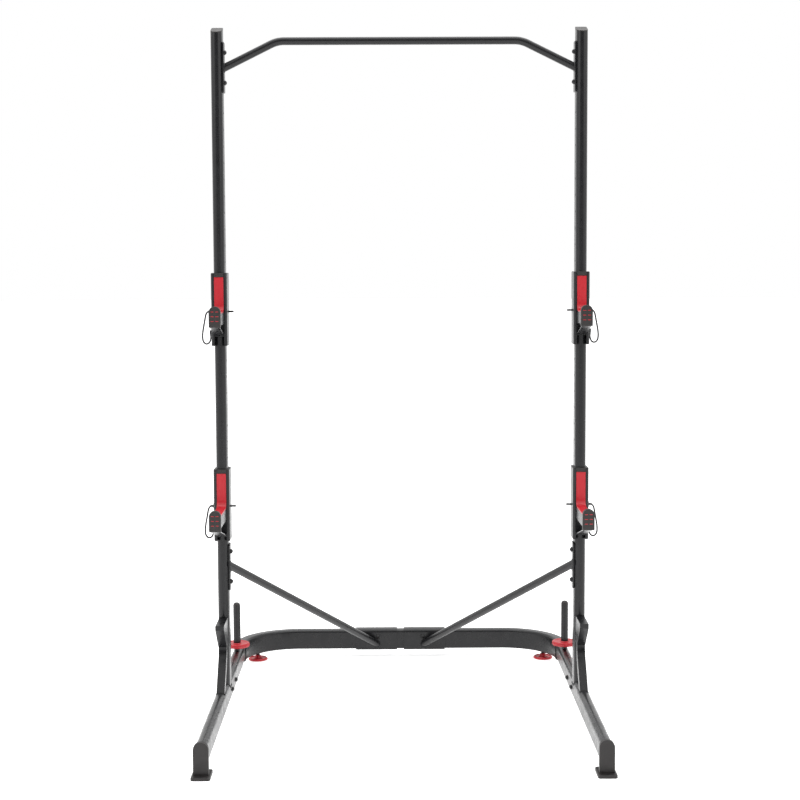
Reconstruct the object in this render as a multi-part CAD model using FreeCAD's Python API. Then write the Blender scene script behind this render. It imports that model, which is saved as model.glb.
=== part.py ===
import FreeCAD, Part
import math
import os

# Half rack: two upright posts on long feet, a bent rear base, two braces, a chin-up bar,
# bar hooks and catch arms on pinned carriages, and plate pegs.
# Millimetres. +Z is up and the open side of the rack faces -Y. The origin is on the floor,
# at the middle of the rack's footprint. The left side is at -X.

Vec = FreeCAD.Vector
X, Y, Z = Vec(1, 0, 0), Vec(0, 1, 0), Vec(0, 0, 1)
SIDES = {"left": -1, "right": 1}

# ---- driving dimensions -------------------------------------------------------------------
post_spacing = 1120.0       # between the centre planes of the two posts, and of the two feet
post_height = 2119.0        # floor to the front edge of the post's slanted top
foot_reach = 656.0          # from the post's front to the front end of the foot tube
base_reach = 738.0          # from the post's front to the front of the rear cross tube

# D-section tube of the posts and feet: three flat sides and a round crown
tube_w = 35.0               # across the flats
tube_d = 58.0               # from the flat back to the crown
tube_wall = 2.5
tube_corner = 5.0

# taller tube of the rear base
base_w = 40.0
base_h = 69.0
base_wall = 2.5
base_corner = 9.0
base_bend = 200.0           # centre-line radius of the rear corners
foot_top = 97.0             # floor to the crown of the foot, level with the rear base's top

# adjustment holes of the posts
hole_pitch = 50.8
hole_d = 7.0
hole_first = 656.0          # floor to the lowest hole
hole_count = 25

# post top
cap_slope = 19.0            # rise of the slanted top from front to rear
cap_plug = 25.0
cap_lid = 3.0

# chin-up bar
bar_d = 24.0
bar_wall = 2.5
bar_z = 2093.0              # floor to the centre line of the straight middle
bar_end_z = 2013.0          # floor to where the centre line meets the end plates
bar_straight = 750.0        # between the two bends' corners
bar_bend = 90.0
bar_plate_h = 154.0
bar_plate_z = 2013.0
bar_bolt_rise = 46.0        # of each end plate's bolts above and below its middle

# braces from the posts to the rear base
brace_d = 25.0
brace_wall = 2.5
brace_top_z = 465.0
brace_foot_x = 88.0
brace_foot_z = 51.0
brace_plate_h = 146.0
brace_plate_z = 464.0
brace_bolt_rise = 48.0

# plates and screws
plate_t = 5.0
plate_w = 40.0
bolt_d = 8.0
bolt_head_d = 15.0
bolt_head_h = 7.0
bolt_clear = 0.5            # around a screw's shank
edge_round = 2.0
plate_corner = 6.0
socket_r = 2.3              # of a button screw's hexagon socket
socket_deep = 3.0
plate_screw_past = 6.0      # of a plate's screw past the post's wall
spare = 20.0                # extra length of what is then cut to shape
pad_gap = 0.3               # round the parts that only lie near one another

# rear cross tube's joint and the sleeves that carry the braces
joint_sleeve_l = 148.0
joint_sleeve_gap = 24.0
joint_sleeve_t = 4.0
joint_spigot_l = 220.0
joint_screw_x = 80.0        # of each of its screws from the middle
joint_screw_rise = 12.0     # above the base tube's centre line
spigot_gap = 0.4
spigot_wall = 3.0

# joint between the front foot and the rear foot
foot_joint = 130.0          # behind the post's front
foot_spigot_l = 170.0
foot_bolt_rise = -37.0      # below the foot's crown
foot_bolt_half = 60.0       # from the joint to each of its two screws
end_plate_t = 3.0

# knee gusset in front of each post
knee_top_z = 306.0
knee_reach = 120.0
knee_low_z = 222.0
knee_low_reach = 38.0
knee_foot_reach = 122.0
knee_w = 27.0
knee_strut_w = 25.0
knee_strut_t = 20.0
knee_shelf_t = 5.0
knee_nose = 14.0            # height of the shelf's front edge
knee_wall = 4.0
knee_strut_sink = 4.0       # below the foot's crown, before it is cut to the tube
knee_strut_foot = 34.0      # length of the strut's seat on the foot
knee_bend_r = 60.0
knee_bend_front = 22.0      # below the shelf, of the strut's two bends
knee_bend_rear = 40.0
knee_bend_out = 6.0

# plate pegs on the feet
peg_d = 24.5
peg_l = 136.0               # above the disc
peg_back = 446.0            # behind the post's front
peg_wall = 3.0
peg_neck_d = 20.0
peg_neck_l = 12.0
peg_solid = 20.0            # solid foot of the peg's tube, above its shoulder
peg_disc_r = 3.0
peg_disc_d = 85.0
peg_disc_t = 14.0
peg_cap_l = 18.0
peg_cap_t = 8.0             # straight part of the cap's dome, in the peg's length
peg_dome = 3.0              # rise of the dome past the peg's length
peg_dome_r = 10.0
peg_cap_d = 24.0

# front foot caps with their floor pads
foot_cap_t = 5.0
foot_cap_over = 9.0         # how far the cap wraps the foot tube
foot_cap_w = 43.0
pad_w = 54.0
pad_l = 84.0
pad_h = 9.0
pad_corner = 8.0
pad_round = 2.5

# rear levelling feet
level_disc_d = 66.0
level_disc_h = 9.0
level_hub_d = 26.0
level_round = 2.5
level_hub_top = 3.0         # wall round the stem at the hub's top
level_hub_h = 9.0
level_socket = 8.0          # disc's top to the floor of the stem's socket
level_fit = 0.075           # between the stem and its socket
level_stem_d = 12.0
level_angle = 44.0          # round the rear corner, from across the rack
level_out = 9.0             # outwards from the corner's centre line
level_reach = 30.0          # of the stem above the base tube's underside

# carriages: a sleeve that slides on the post, with a hook arm
bush_t = 3.0
bush_clear = 0.3
bush_l = 30.0
bush_rim = 1.5
sleeve_wall = 4.0
sleeve_front = 6.7
sleeve_h = 222.0
sleeve_up = 7.0             # middle of the sleeve above the pin
sleeve_corner = 8.0
liner_t = 4.0
liner_w = 29.0
liner_gap = 0.3
liner_round = 1.5           # of the liner's top edge
cradle_drop = -1.0          # cradle's floor below the pin; it lies just above
cradle_r = 22.0
arm_w = 29.0
arm_skin = 4.0
arm_beam = 35.0             # depth of the beam under the liner, above the open window
arm_strap = 3.0             # flat strap under the window
arm_web = 2.0               # from the lip to the window
arm_lip_t = 6.0
arm_lip_rise = 12.0         # lip above the cradle's floor
arm_low = 44.0              # arm's front edge below the pin
arm_slope = 0.23            # rise of the arm's underside per millimetre of reach
hook_reach = 146.0          # upper bar hooks: post's front to the face of the tip
catch_reach = 215.0         # lower catch arms
tip_w = 36.0
tip_t = 15.0
tip_low = 44.0
tip_high = 20.0
tip_cover = 8.0             # how deep the lip sits in the tip
notch_drop = 2.0            # from the arm's lowest edge to where the sleeve's front ends
notch_back = 9.0            # how far behind the post's front the opening reaches
tab_h = 11.0                # front tab of the upper bush

# locking pins
pin_d = 6.0
pin_clear = 0.08
pin_out = 17.0              # free end past the sleeve
pin_head_d = 20.0
pin_head_t = 4.0
pin_tab = 7.0
pin_eye = 7.3               # sleeve's side to the end of the pin's eye
pin_point = 3.0
pin_round = 1.2
lanyard_d = 5.0
lanyard_gap = 0.3           # between its lower end and the barrel
lanyard_run = 0.45          # share of each straight run that an arc takes
lanyard_low = -70.0         # its lower end, from the pin
anchor_out = 5.0            # the lower end's barrel, out from the sleeve's side
anchor_d = 8.0
anchor_l = 12.0
anchor_lug = 5.0
hook_hole = 12              # number of the hole, counted from the lowest, of the upper hooks
catch_hole = 0

# ---- places that follow from the dimensions ------------------------------------------------
pad_front = foot_reach + foot_cap_t + 22.0
rack_shift = (pad_front - base_reach - base_w) / 2.0    # centres the footprint on Y = 0
front = rack_shift                       # Y of the posts' front
half = post_spacing / 2.0
post_y = front + tube_d / 2.0
foot_base = foot_top - tube_d
base_y = front + base_reach + base_w / 2.0
base_z = foot_top - base_h / 2.0
sleeve_w = tube_w + 2 * (bush_t + bush_clear + sleeve_wall)
sleeve_front_y = front - bush_t - bush_clear - sleeve_front
sleeve_back_y = front + tube_d + bush_t + bush_clear + sleeve_wall
sleeve_top = sleeve_up + sleeve_h / 2
sleeve_low = sleeve_up - sleeve_h / 2
hook_z = hole_first + hook_hole * hole_pitch
catch_z = hole_first + catch_hole * hole_pitch
corner_front = base_y - base_bend        # where the rear corners start
level_x = half - base_bend + (base_bend + level_out) * math.cos(math.radians(level_angle))
level_y = corner_front + (base_bend + level_out) * math.sin(math.radians(level_angle))


# ---- shapes --------------------------------------------------------------------------------
def outline(points):
    """A face from a closed list of points: (x, y) corners, or (x, y, r) corners rounded by r."""
    n = len(points)
    edges, ends = [], []
    for i, point in enumerate(points):
        here = Vec(point[0], point[1], 0)
        before = Vec(points[i - 1][0], points[i - 1][1], 0)
        after = Vec(points[(i + 1) % n][0], points[(i + 1) % n][1], 0)
        r = point[2] if len(point) > 2 else 0
        a, b = (before - here).normalize(), (after - here).normalize()
        if r <= 0:
            ends.append((here, here, None))
            continue
        angle = math.acos(max(-1.0, min(1.0, a.dot(b))))
        run = r / math.tan(angle / 2)
        inwards = (a + b).normalize()
        middle = here + inwards * (r / math.sin(angle / 2) - r)
        ends.append((here + a * run, here + b * run, middle))
    for i, (start, stop, middle) in enumerate(ends):
        if middle is not None:
            edges.append(Part.Arc(start, middle, stop).toShape())
        following = ends[(i + 1) % n][0]
        if stop.distanceToPoint(following) > 1e-6:
            edges.append(Part.LineSegment(stop, following).toShape())
    return Part.Face(Part.Wire(edges))


def d_face(width, depth, corner, grow=0.0):
    """The D section in XY: crown at y = 0, flat back at y = depth, grown outwards by grow."""
    w, top, back = width / 2 + grow, -grow, depth + grow
    r, c = w, max(corner + grow, 0.3)
    left, right = Vec(-w, top + r, 0), Vec(w, top + r, 0)
    edges = [
        Part.Arc(left, Vec(0, top, 0), right).toShape(),
        Part.LineSegment(right, Vec(w, back - c, 0)).toShape(),
        corner_arc(Vec(w - c, back - c, 0), c, 0),
        Part.LineSegment(Vec(w - c, back, 0), Vec(c - w, back, 0)).toShape(),
        corner_arc(Vec(c - w, back - c, 0), c, 90),
        Part.LineSegment(Vec(-w, back - c, 0), left).toShape(),
    ]
    return Part.Face(Part.Wire(edges))


def corner_arc(centre, r, start):
    """A quarter circle in XY from the angle start, in degrees."""
    at = [math.radians(start + turn) for turn in (0, 45, 90)]
    return Part.Arc(*[centre + Vec(math.cos(a), math.sin(a), 0) * r for a in at]).toShape()


def rect_face(width, height, corner):
    """A rounded rectangle in XY about the origin."""
    w, h = width / 2, height / 2
    return outline([(-w, -h, corner), (w, -h, corner), (w, h, corner), (-w, h, corner)])


def lay(shape, x_axis, z_axis, at):
    """Turns a shape so that its X and Z lie along the two given axes, and moves it to a point."""
    y_axis = z_axis.cross(x_axis)
    m = FreeCAD.Matrix(x_axis.x, y_axis.x, z_axis.x, at.x, x_axis.y, y_axis.y, z_axis.y, at.y,
                       x_axis.z, y_axis.z, z_axis.z, at.z, 0, 0, 0, 1)
    return moved(shape, m)


def moved(shape, matrix):
    """A copy of a shape placed by a rigid matrix."""
    copy = shape.copy()
    copy.Placement = FreeCAD.Placement(matrix).multiply(copy.Placement)
    return copy


def rod(start, stop, diameter):
    """A round bar between two points."""
    along = stop - start
    return Part.makeCylinder(diameter / 2, along.Length, start, along)


def box(low, high):
    """A box from its lowest corner to its highest."""
    size = high - low
    return Part.makeBox(size.x, size.y, size.z, low)


def foot_section(y0, y1, grow=0.0):
    """The solid D section of a foot, at x = 0, between two places along Y, crown up."""
    face = d_face(tube_w, tube_d, tube_corner, grow)
    return lay(face.extrude(Z * (y1 - y0)), X, Y, Vec(0, y0, foot_top))


def foot_tube(y0, y1):
    """A hollow length of foot."""
    return foot_section(y0, y1).cut(foot_section(y0 - 1, y1 + 1, -tube_wall))


def post_section(z0, z1, grow=0.0):
    """The solid D section of a post, at x = 0, between two heights."""
    face = d_face(tube_w, tube_d, tube_corner, grow)
    return lay(face.extrude(Z * (z1 - z0)), X, Z, Vec(0, front, z0))


def sweep(points, radius, section):
    """A section swept along straight runs joined by arcs of one radius, in one plane."""
    corners = [Vec(*p) for p in points]
    edges = []
    start = corners[0]
    for i in range(1, len(corners) - 1):
        a = (corners[i - 1] - corners[i]).normalize()
        b = (corners[i + 1] - corners[i]).normalize()
        angle = a.getAngle(b)
        run = radius / math.tan(angle / 2)
        middle = corners[i] + (a + b).normalize() * (radius / math.sin(angle / 2) - radius)
        enter, leave = corners[i] + a * run, corners[i] + b * run
        edges.append(Part.LineSegment(start, enter).toShape())
        edges.append(Part.Arc(enter, middle, leave).toShape())
        start = leave
    edges.append(Part.LineSegment(start, corners[-1]).toShape())
    return Part.Wire(edges).makePipeShell([section], True, False)


def button_screw(at, axis, length):
    """A button-head screw: its head stands out along axis from the point at."""
    head = Part.makeSphere(bolt_head_d, Vec(0, 0, bolt_head_h - bolt_head_d))
    head = head.common(Part.makeCylinder(bolt_head_d / 2, bolt_head_h))
    socket = outline([(socket_r * math.cos(i * math.pi / 3), socket_r * math.sin(i * math.pi / 3))
                      for i in range(6)]).extrude(Z * bolt_head_h)
    socket.translate(Z * (bolt_head_h - socket_deep))
    shank = Part.makeCylinder(bolt_d / 2, length, Vec(0, 0, -length))
    screw = head.cut(socket).fuse(shank).removeSplitter()
    side = X if abs(axis.dot(X)) < 0.9 else Y
    return lay(screw, side, axis, at)


def screw_hole(at, axis, length):
    """The hole that a screw's shank passes through, both ways from the point at."""
    way = Vec(axis).normalize()
    return rod(at - way * length, at + way * length, bolt_d + 2 * bolt_clear)


def group(shapes):
    """Several separate solids kept as one part."""
    return Part.makeCompound(shapes)


def mirror(shape, side):
    """A shape modelled at the right side, for the side given."""
    return shape if side > 0 else shape.mirror(Vec(0, 0, 0), X)


def at_post(shape, side):
    """A shape modelled at x = 0 for the right post, whose inner face is towards -X."""
    copy = shape.copy()
    copy.translate(X * half)
    return mirror(copy, side)


# ---- posts, feet and base ------------------------------------------------------------------
inner_face = -tube_w / 2                 # of the right post or foot, about its own centre plane
bar_bolts = [bar_plate_z - bar_bolt_rise, bar_plate_z + bar_bolt_rise]
brace_bolts = [brace_plate_z - brace_bolt_rise, brace_plate_z + brace_bolt_rise]
foot_bolts = [front + foot_joint - foot_bolt_half, front + foot_joint + foot_bolt_half]
foot_bolt_z = foot_top + foot_bolt_rise
spigot_front = front + foot_joint - foot_spigot_l / 2
spigot_back = front + foot_joint + foot_spigot_l / 2
peg_at = Vec(0, front + peg_back, foot_top)
peg_shoulder = peg_neck_l + peg_disc_t


def top_cut(offset):
    """A wedge that takes off what stands above the slanted top, lowered by offset."""
    z0, far = post_height - offset, 400.0
    rise = cap_slope * far / tube_d
    face = outline([(-far, z0 - rise), (far, z0 + rise), (far, z0 + 900), (-far, z0 + 900)])
    return lay(face.extrude(Z * 200), Y, X, Vec(-100, front, 0))


def post():
    """One hollow post with its adjustment holes and screw holes, seated on the foot's crown."""
    tall = post_height + cap_slope + spare
    tube = post_section(foot_base + tube_w, tall).cut(post_section(0, tall + 1, -tube_wall))
    tube = tube.cut(top_cut(cap_lid))
    tube = tube.cut(foot_section(front - 100, front + tube_d + 100))
    holes = [rod(Vec(-tube_w, post_y, z), Vec(tube_w, post_y, z), hole_d)
             for z in (hole_first + i * hole_pitch for i in range(hole_count))]
    holes += [screw_hole(Vec(inner_face, post_y, z), X, tube_wall + 1)
              for z in bar_bolts + brace_bolts]
    return tube.cut(group(holes))


def post_cap():
    """The slanted plastic cap, with a plug inside the post."""
    z0 = post_height - cap_plug
    lid = post_section(z0, post_height + cap_slope + spare).cut(top_cut(0))
    below = post_section(0, post_height + cap_slope + spare, 1).cut(top_cut(cap_lid))
    lid = lid.cut(below)
    plug = post_section(z0, post_height + cap_slope + spare, -tube_wall).cut(top_cut(cap_lid))
    plug = plug.cut(post_section(0, post_height + cap_slope, -tube_wall - 3).cut(top_cut(8)))
    return lid.fuse(plug).removeSplitter()


def foot():
    """The front foot: a hollow D tube, from the front cap to its joint behind the post."""
    tube = foot_tube(front - foot_reach, front + foot_joint)
    return tube.cut(screw_hole(Vec(inner_face, foot_bolts[0], foot_bolt_z), X, tube_wall + 1))


def rear_foot():
    """The rear foot, from the joint to the rear corner, with the peg's hole."""
    tube = foot_tube(front + foot_joint, corner_front)
    tube = tube.cut(screw_hole(Vec(inner_face, foot_bolts[1], foot_bolt_z), X, tube_wall + 1))
    return tube.cut(screw_hole(peg_at, Z, tube_d + 1))


def foot_spigot():
    """The block inside the foot's joint that takes its two screws."""
    grow = -tube_wall - spigot_gap
    block = foot_section(spigot_front, spigot_back, grow)
    block = block.cut(foot_section(spigot_front - 1, spigot_back + 1, grow - spigot_wall))
    for y in foot_bolts:
        block = block.cut(rod(Vec(inner_face, y, foot_bolt_z), Vec(0, y, foot_bolt_z), bolt_d))
    return block


def foot_screws():
    """The two button screws in the inner side of a foot, and the peg's screw under it."""
    deep = tube_wall + spigot_gap + spigot_wall
    screws = [button_screw(Vec(inner_face, y, foot_bolt_z), -X, deep) for y in foot_bolts]
    screws.append(button_screw(peg_at - Z * tube_d, -Z, tube_d + peg_neck_l - 2))
    return screws


def base_section(grow=0.0):
    """The rear base's rounded rectangle in XY: x is its width, y its height."""
    return rect_face(base_w + 2 * grow, base_h + 2 * grow, base_corner + grow)


def base_half():
    """The right half of the rear base, a hollow tube with one swept corner and a front plate."""
    def swept(grow):
        face = base_section(grow)
        wire = lay(face.OuterWire, X, Y, Vec(half, corner_front, base_z))
        return solid_sweep(wire)
    tube = swept(0).cut(swept(-base_wall))
    plate = lay(base_section(-base_wall).extrude(Z * end_plate_t), X, Y,
                Vec(half, corner_front, base_z))
    tube = tube.fuse(plate).removeSplitter()
    holes = [screw_hole(Vec(joint_screw_x, base_y - base_w / 2, screw_z), Y, base_wall + 1),
             rod(level_point(-1), level_point(base_corner), level_stem_d + 2 * bolt_clear)]
    return tube.cut(group(holes))


def solid_sweep(wire):
    """A wire swept along the right half of the rear base: one straight, one arc, one straight."""
    centre = Vec(half - base_bend, corner_front, base_z)
    arc_middle = centre + Vec(math.cos(math.pi / 4), math.sin(math.pi / 4), 0) * base_bend
    arc = Part.Arc(Vec(half, corner_front, base_z), arc_middle,
                   Vec(half - base_bend, base_y, base_z)).toShape()
    run = Part.LineSegment(Vec(half - base_bend, base_y, base_z), Vec(0, base_y, base_z)).toShape()
    return Part.Wire([arc, run]).makePipeShell([wire], True, False)


screw_z = base_z + joint_screw_rise


def base_spigot():
    """The tube inside the joint at the middle of the rear base."""
    grow = -base_wall - spigot_gap
    outer = base_section(grow).extrude(Z * joint_spigot_l)
    inner = base_section(grow - spigot_wall).extrude(Z * joint_spigot_l)
    tube = lay(outer.cut(inner), Y, X, Vec(-joint_spigot_l / 2, base_y, base_z))
    for side in SIDES.values():
        at = Vec(side * joint_screw_x, base_y - base_w / 2, screw_z)
        tube = tube.cut(rod(at, at + Y * (base_w / 2), bolt_d))
    return tube


def base_sleeve():
    """The sleeve round the rear base that the right brace is welded to."""
    outer = base_section(joint_sleeve_t).extrude(Z * joint_sleeve_l)
    inner = base_section().extrude(Z * joint_sleeve_l)
    tube = lay(outer.cut(inner), Y, X, Vec(joint_sleeve_gap / 2, base_y, base_z))
    at = Vec(joint_screw_x, base_y - base_w / 2, screw_z)
    return tube.cut(screw_hole(at, Y, joint_sleeve_t + 1))


def base_screws():
    """The two button screws of the rear base's joint."""
    deep = joint_sleeve_t + base_wall + spigot_gap + spigot_wall
    y = base_y - base_w / 2 - joint_sleeve_t
    return [button_screw(Vec(s * joint_screw_x, y, screw_z), -Y, deep) for s in SIDES.values()]


# ---- braces and chin-up bar ----------------------------------------------------------------
plate_face = half - tube_w / 2 - plate_t     # X of the inner plates' free faces, right side


def end_plate(height, z, bolts):
    """A plate on the inner face of the right post, with its two screw holes."""
    face = rect_face(plate_w, height, plate_corner)
    plate = lay(face.extrude(Z * plate_t), Y, X, Vec(plate_face, post_y, z))
    holes = [screw_hole(Vec(plate_face, post_y, b), X, plate_t * 2) for b in bolts]
    return plate.cut(group(holes))


def plate_screws(bolts):
    """The button screws of one end plate of the right post."""
    return [button_screw(Vec(plate_face, post_y, z), -X, plate_t + tube_wall + plate_screw_past)
            for z in bolts]


def brace():
    """The right brace: a slanted tube with its end plate, down to the rear base's sleeve."""
    low = Vec(brace_foot_x, base_y - base_w / 2 - joint_sleeve_t, brace_foot_z)
    high = Vec(plate_face, post_y, brace_top_z)
    way = (high - low).normalize()
    outer = rod(low - way * 60, high + way * 60, brace_d)
    inner = rod(low - way * 61, high + way * 61, brace_d - 2 * brace_wall)
    keep = box(Vec(0, post_y - 200, 0), Vec(plate_face, low.y, 2000))
    tube = outer.common(keep).cut(inner)
    plug = inner.common(box(Vec(0, low.y - 3, 0), Vec(plate_face, low.y, 2000)))
    tube = tube.fuse(plug)
    return tube.fuse(end_plate(brace_plate_h, brace_plate_z, brace_bolts)).removeSplitter()


def chin_bar():
    """The chin-up bar: a bent tube between two end plates."""
    ends = half - tube_w / 2 - plate_t
    corner = bar_straight / 2
    end_z = bar_end_z - spare * (bar_z - bar_end_z) / (ends - corner)
    points = [(-ends - spare, post_y, end_z), (-corner, post_y, bar_z),
              (corner, post_y, bar_z), (ends + spare, post_y, end_z)]
    start = Vec(*points[0])
    way = (Vec(*points[1]) - start).normalize()
    def ring(d):
        return Part.Wire(Part.makeCircle(d / 2, start, way))
    tube = sweep(points, bar_bend, ring(bar_d)).cut(
        sweep(points, bar_bend, ring(bar_d - 2 * bar_wall)))
    tube = tube.common(box(Vec(-ends, post_y - 200, 0), Vec(ends, post_y + 200, 3000)))
    plate = end_plate(bar_plate_h, bar_plate_z, bar_bolts)
    return tube.fuse([plate, plate.mirror(Vec(0, 0, 0), X)]).removeSplitter()


def frame_screws():
    """All the button screws of the frame: feet, chin-up bar, braces and rear base."""
    screws = base_screws()
    for side in SIDES.values():
        screws += [at_post(screw, side) for screw in foot_screws()]
        screws += [mirror(screw, side) for screw in plate_screws(bar_bolts + brace_bolts)]
    return group(screws)


# ---- knee gussets --------------------------------------------------------------------------
def knee_shelf():
    """The wedge in front of the post, whose flat top is a shelf."""
    inner = knee_shelf_t
    face = outline([(0, knee_top_z), (-knee_reach, knee_top_z), (-knee_reach, knee_top_z - knee_nose),
                    (-knee_low_reach, knee_low_z), (0, knee_low_z)])
    wedge = lay(face.extrude(Z * knee_w), Y, X, Vec(-knee_w / 2, front, 0))
    wedge = wedge.makeFillet(edge_round, [e for e in wedge.Edges if along_x_in_front(e)])
    wall = knee_wall
    hollow = outline([(tube_d, knee_top_z - inner), (wall - knee_reach, knee_top_z - inner),
                      (wall - knee_reach, knee_top_z - knee_nose + 1),
                      (wall - 1 - knee_low_reach, knee_low_z + wall), (tube_d, knee_low_z + wall)])
    hollow = lay(hollow.extrude(Z * (knee_w - 2 * wall)), Y, X, Vec(wall - knee_w / 2, front, 0))
    reach_back = box(Vec(-knee_w / 2, front, knee_low_z), Vec(knee_w / 2, post_y, knee_top_z))
    return wedge.fuse(reach_back).removeSplitter().cut(hollow).cut(post_section(0, 3000))


def along_x_in_front(edge):
    """Whether an edge runs along X in front of the post."""
    a, b = edge.Vertexes[0].Point, edge.Vertexes[-1].Point
    return abs(a.x - b.x) > 1 and a.y < front - 1


def knee_strut():
    """The strut from under the shelf to the crown of the foot."""
    low = foot_top - knee_strut_sink
    face = outline([(-knee_low_reach, knee_low_z),
                    (-knee_low_reach, knee_low_z - knee_bend_front, knee_bend_r),
                    (-knee_foot_reach, low), (-knee_foot_reach + knee_strut_foot, low),
                    (-knee_low_reach + knee_strut_t + knee_bend_out, knee_low_z - knee_bend_rear,
                     knee_bend_r),
                    (-knee_low_reach + knee_strut_t, knee_low_z)])
    strut = lay(face.extrude(Z * knee_strut_w), Y, X, Vec(-knee_strut_w / 2, front, 0))
    return strut.cut(foot_section(front - foot_reach, front + foot_joint))


# ---- pegs, caps and levelling feet ---------------------------------------------------------
def peg():
    """The plate peg: a neck seated on the foot's crown and a tube, one turned piece."""
    z0 = -tube_w / 2
    neck = Part.makeCylinder(peg_neck_d / 2, peg_shoulder - z0, peg_at + Z * z0)
    neck = neck.cut(foot_section(front, corner_front))
    neck = neck.cut(rod(peg_at - Z * tube_d, peg_at + Z * peg_neck_l, bolt_d))
    tube = Part.makeCylinder(peg_d / 2, peg_l - peg_cap_t, peg_at + Z * peg_shoulder)
    bore = Part.makeCylinder(peg_d / 2 - peg_wall, peg_l, peg_at + Z * (peg_shoulder + peg_solid))
    return neck.fuse(tube).cut(bore).removeSplitter()


def peg_disc():
    """The red plastic disc round the peg's neck, held by the tube's shoulder above it."""
    low = peg_at + Z * peg_neck_l
    disc = Part.makeCylinder(peg_disc_d / 2, peg_disc_t, low)
    disc = disc.makeFillet(peg_disc_r, [e for e in disc.Edges if e.Closed])
    return disc.cut(Part.makeCylinder(peg_neck_d / 2, peg_disc_t, low))


def peg_cap():
    """The rounded plastic cap in the top of the peg."""
    top = peg_at + Z * (peg_shoulder + peg_l - peg_cap_t)
    dome = Part.makeCylinder(peg_cap_d / 2, peg_cap_t + peg_dome, top)
    rim = [e for e in dome.Edges if e.Closed and e.BoundBox.ZMin > top.z + 1]
    dome = dome.makeFillet(peg_dome_r, rim)
    plug = Part.makeCylinder(peg_d / 2 - peg_wall, peg_cap_l, top - Z * peg_cap_l)
    return dome.fuse(plug).removeSplitter()


def foot_cap():
    """The front cap of a foot, wrapped round the tube's end and standing on a floor pad."""
    tall = foot_top + foot_cap_t - pad_h
    y0 = front - foot_reach - foot_cap_t
    face = d_face(foot_cap_w, tall, 2.0)
    block = lay(face.extrude(Z * (foot_cap_t + foot_cap_over)), X, Y,
                Vec(0, y0, foot_top + foot_cap_t))
    block = block.cut(foot_section(front - foot_reach, front))
    pad = rect_face(pad_w, pad_l, pad_corner).extrude(Z * pad_h)
    pad.translate(Vec(0, front - pad_front + pad_l / 2, 0))
    pad = pad.makeFillet(pad_round, [e for e in pad.Edges if e.BoundBox.ZMin > pad_h - 0.1])
    return block.fuse(pad).removeSplitter()


def level_point(z):
    """A point on the right levelling foot's axis, z above the base tube's underside."""
    return Vec(level_x, level_y, foot_top - base_h + z)


def level_stem():
    """The threaded stem of a levelling foot, shown plain: from the disc up into the base."""
    low = level_disc_h + level_socket
    under = foot_top - base_h
    at = Vec(level_x, level_y, low)
    return Part.makeCylinder(level_stem_d / 2, under + level_reach - low, at)


def level_disc():
    """The red foot disc of a levelling foot, with its hub and the socket of its stem."""
    at = Vec(level_x, level_y, 0)
    disc = Part.makeCylinder(level_disc_d / 2, level_disc_h, at)
    disc = disc.makeFillet(level_round, [e for e in disc.Edges if e.Closed])
    hub = Part.makeCone(level_hub_d / 2, level_stem_d / 2 + level_hub_top, level_hub_h, at + Z * level_disc_h)
    socket = Part.makeCylinder(level_stem_d / 2 + level_fit, level_hub_h,
                               at + Z * (level_disc_h + level_socket))
    return disc.fuse(hub).removeSplitter().cut(socket)


# ---- carriages -----------------------------------------------------------------------------
def arm_edges(reach):
    """Where a hook arm's side outline lies: its back and lip in Y, its lowest edge in Z."""
    back = sleeve_front_y + liner_t
    lip = front - reach + tip_t - tip_cover
    return back, lip, -arm_low - (back - lip) * arm_slope


def notch(reach):
    """The block that opens the sleeve's front below the arm, as wide as the arm."""
    high = arm_edges(reach)[2] - notch_drop
    half_w = arm_w / 2 + liner_gap
    return box(Vec(-half_w, sleeve_front_y - 1, high - sleeve_h),
               Vec(half_w, front + notch_back, high))


def sleeve(reach):
    """The steel sleeve of a carriage about its pin at z = 0."""
    half_w = sleeve_w / 2
    face = outline([(-half_w, sleeve_front_y, sleeve_corner), (half_w, sleeve_front_y, sleeve_corner),
                    (half_w, sleeve_back_y, sleeve_corner), (-half_w, sleeve_back_y, sleeve_corner)])
    body = face.extrude(Z * sleeve_h)
    body.translate(Z * sleeve_low)
    body = body.cut(post_section(sleeve_low - 1, sleeve_top + 1, bush_t + bush_clear))
    groove_w = liner_w / 2 + liner_gap
    groove = box(Vec(-groove_w, sleeve_front_y - 1, sleeve_low - 1),
                 Vec(groove_w, sleeve_front_y + liner_t, sleeve_top + 1))
    hole = rod(Vec(-half_w - 1, post_y, 0), Vec(half_w + 1, post_y, 0), pin_d + 2 * pin_clear)
    return body.cut(groove).cut(notch(reach)).cut(hole)


def bushes(reach):
    """The two plastic bushes that slide on the post, each with a rim; the upper has a front tab,
    and the lower is open in front like the sleeve and clear of the arm."""
    pieces = []
    for end in (1, -1):
        z0 = sleeve_top if end > 0 else sleeve_low
        low, high = sorted((z0, z0 - end * bush_l))
        ring = post_section(low, high, bush_t + bush_clear)
        rim_low, rim_high = sorted((z0, z0 + end * bush_rim))
        rim = box(Vec(-sleeve_w / 2 + 1, sleeve_front_y + 1, rim_low),
                  Vec(sleeve_w / 2 - 1, sleeve_back_y - 1, rim_high))
        rim = rim.makeFillet(sleeve_corner - 1, [e for e in rim.Edges if upright(e)])
        ring = ring.fuse(rim)
        if end > 0:
            tab = box(Vec(-liner_w / 2, sleeve_front_y - 0.5, z0 - tab_h),
                      Vec(liner_w / 2, sleeve_front_y + liner_t, z0 + bush_rim))
            ring = ring.fuse(tab)
        else:
            ring = ring.cut(notch(reach)).cut(arm_block(reach))
        ring = ring.removeSplitter().cut(post_section(low - 10, high + 10, bush_clear))
        pieces.append(ring)
    return group(pieces)


def upright(edge):
    """Whether an edge runs along Z."""
    a, b = edge.Vertexes[0].Point, edge.Vertexes[-1].Point
    return abs(a.z - b.z) > 1 and abs(a.x - b.x) + abs(a.y - b.y) < 1e-6


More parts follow.
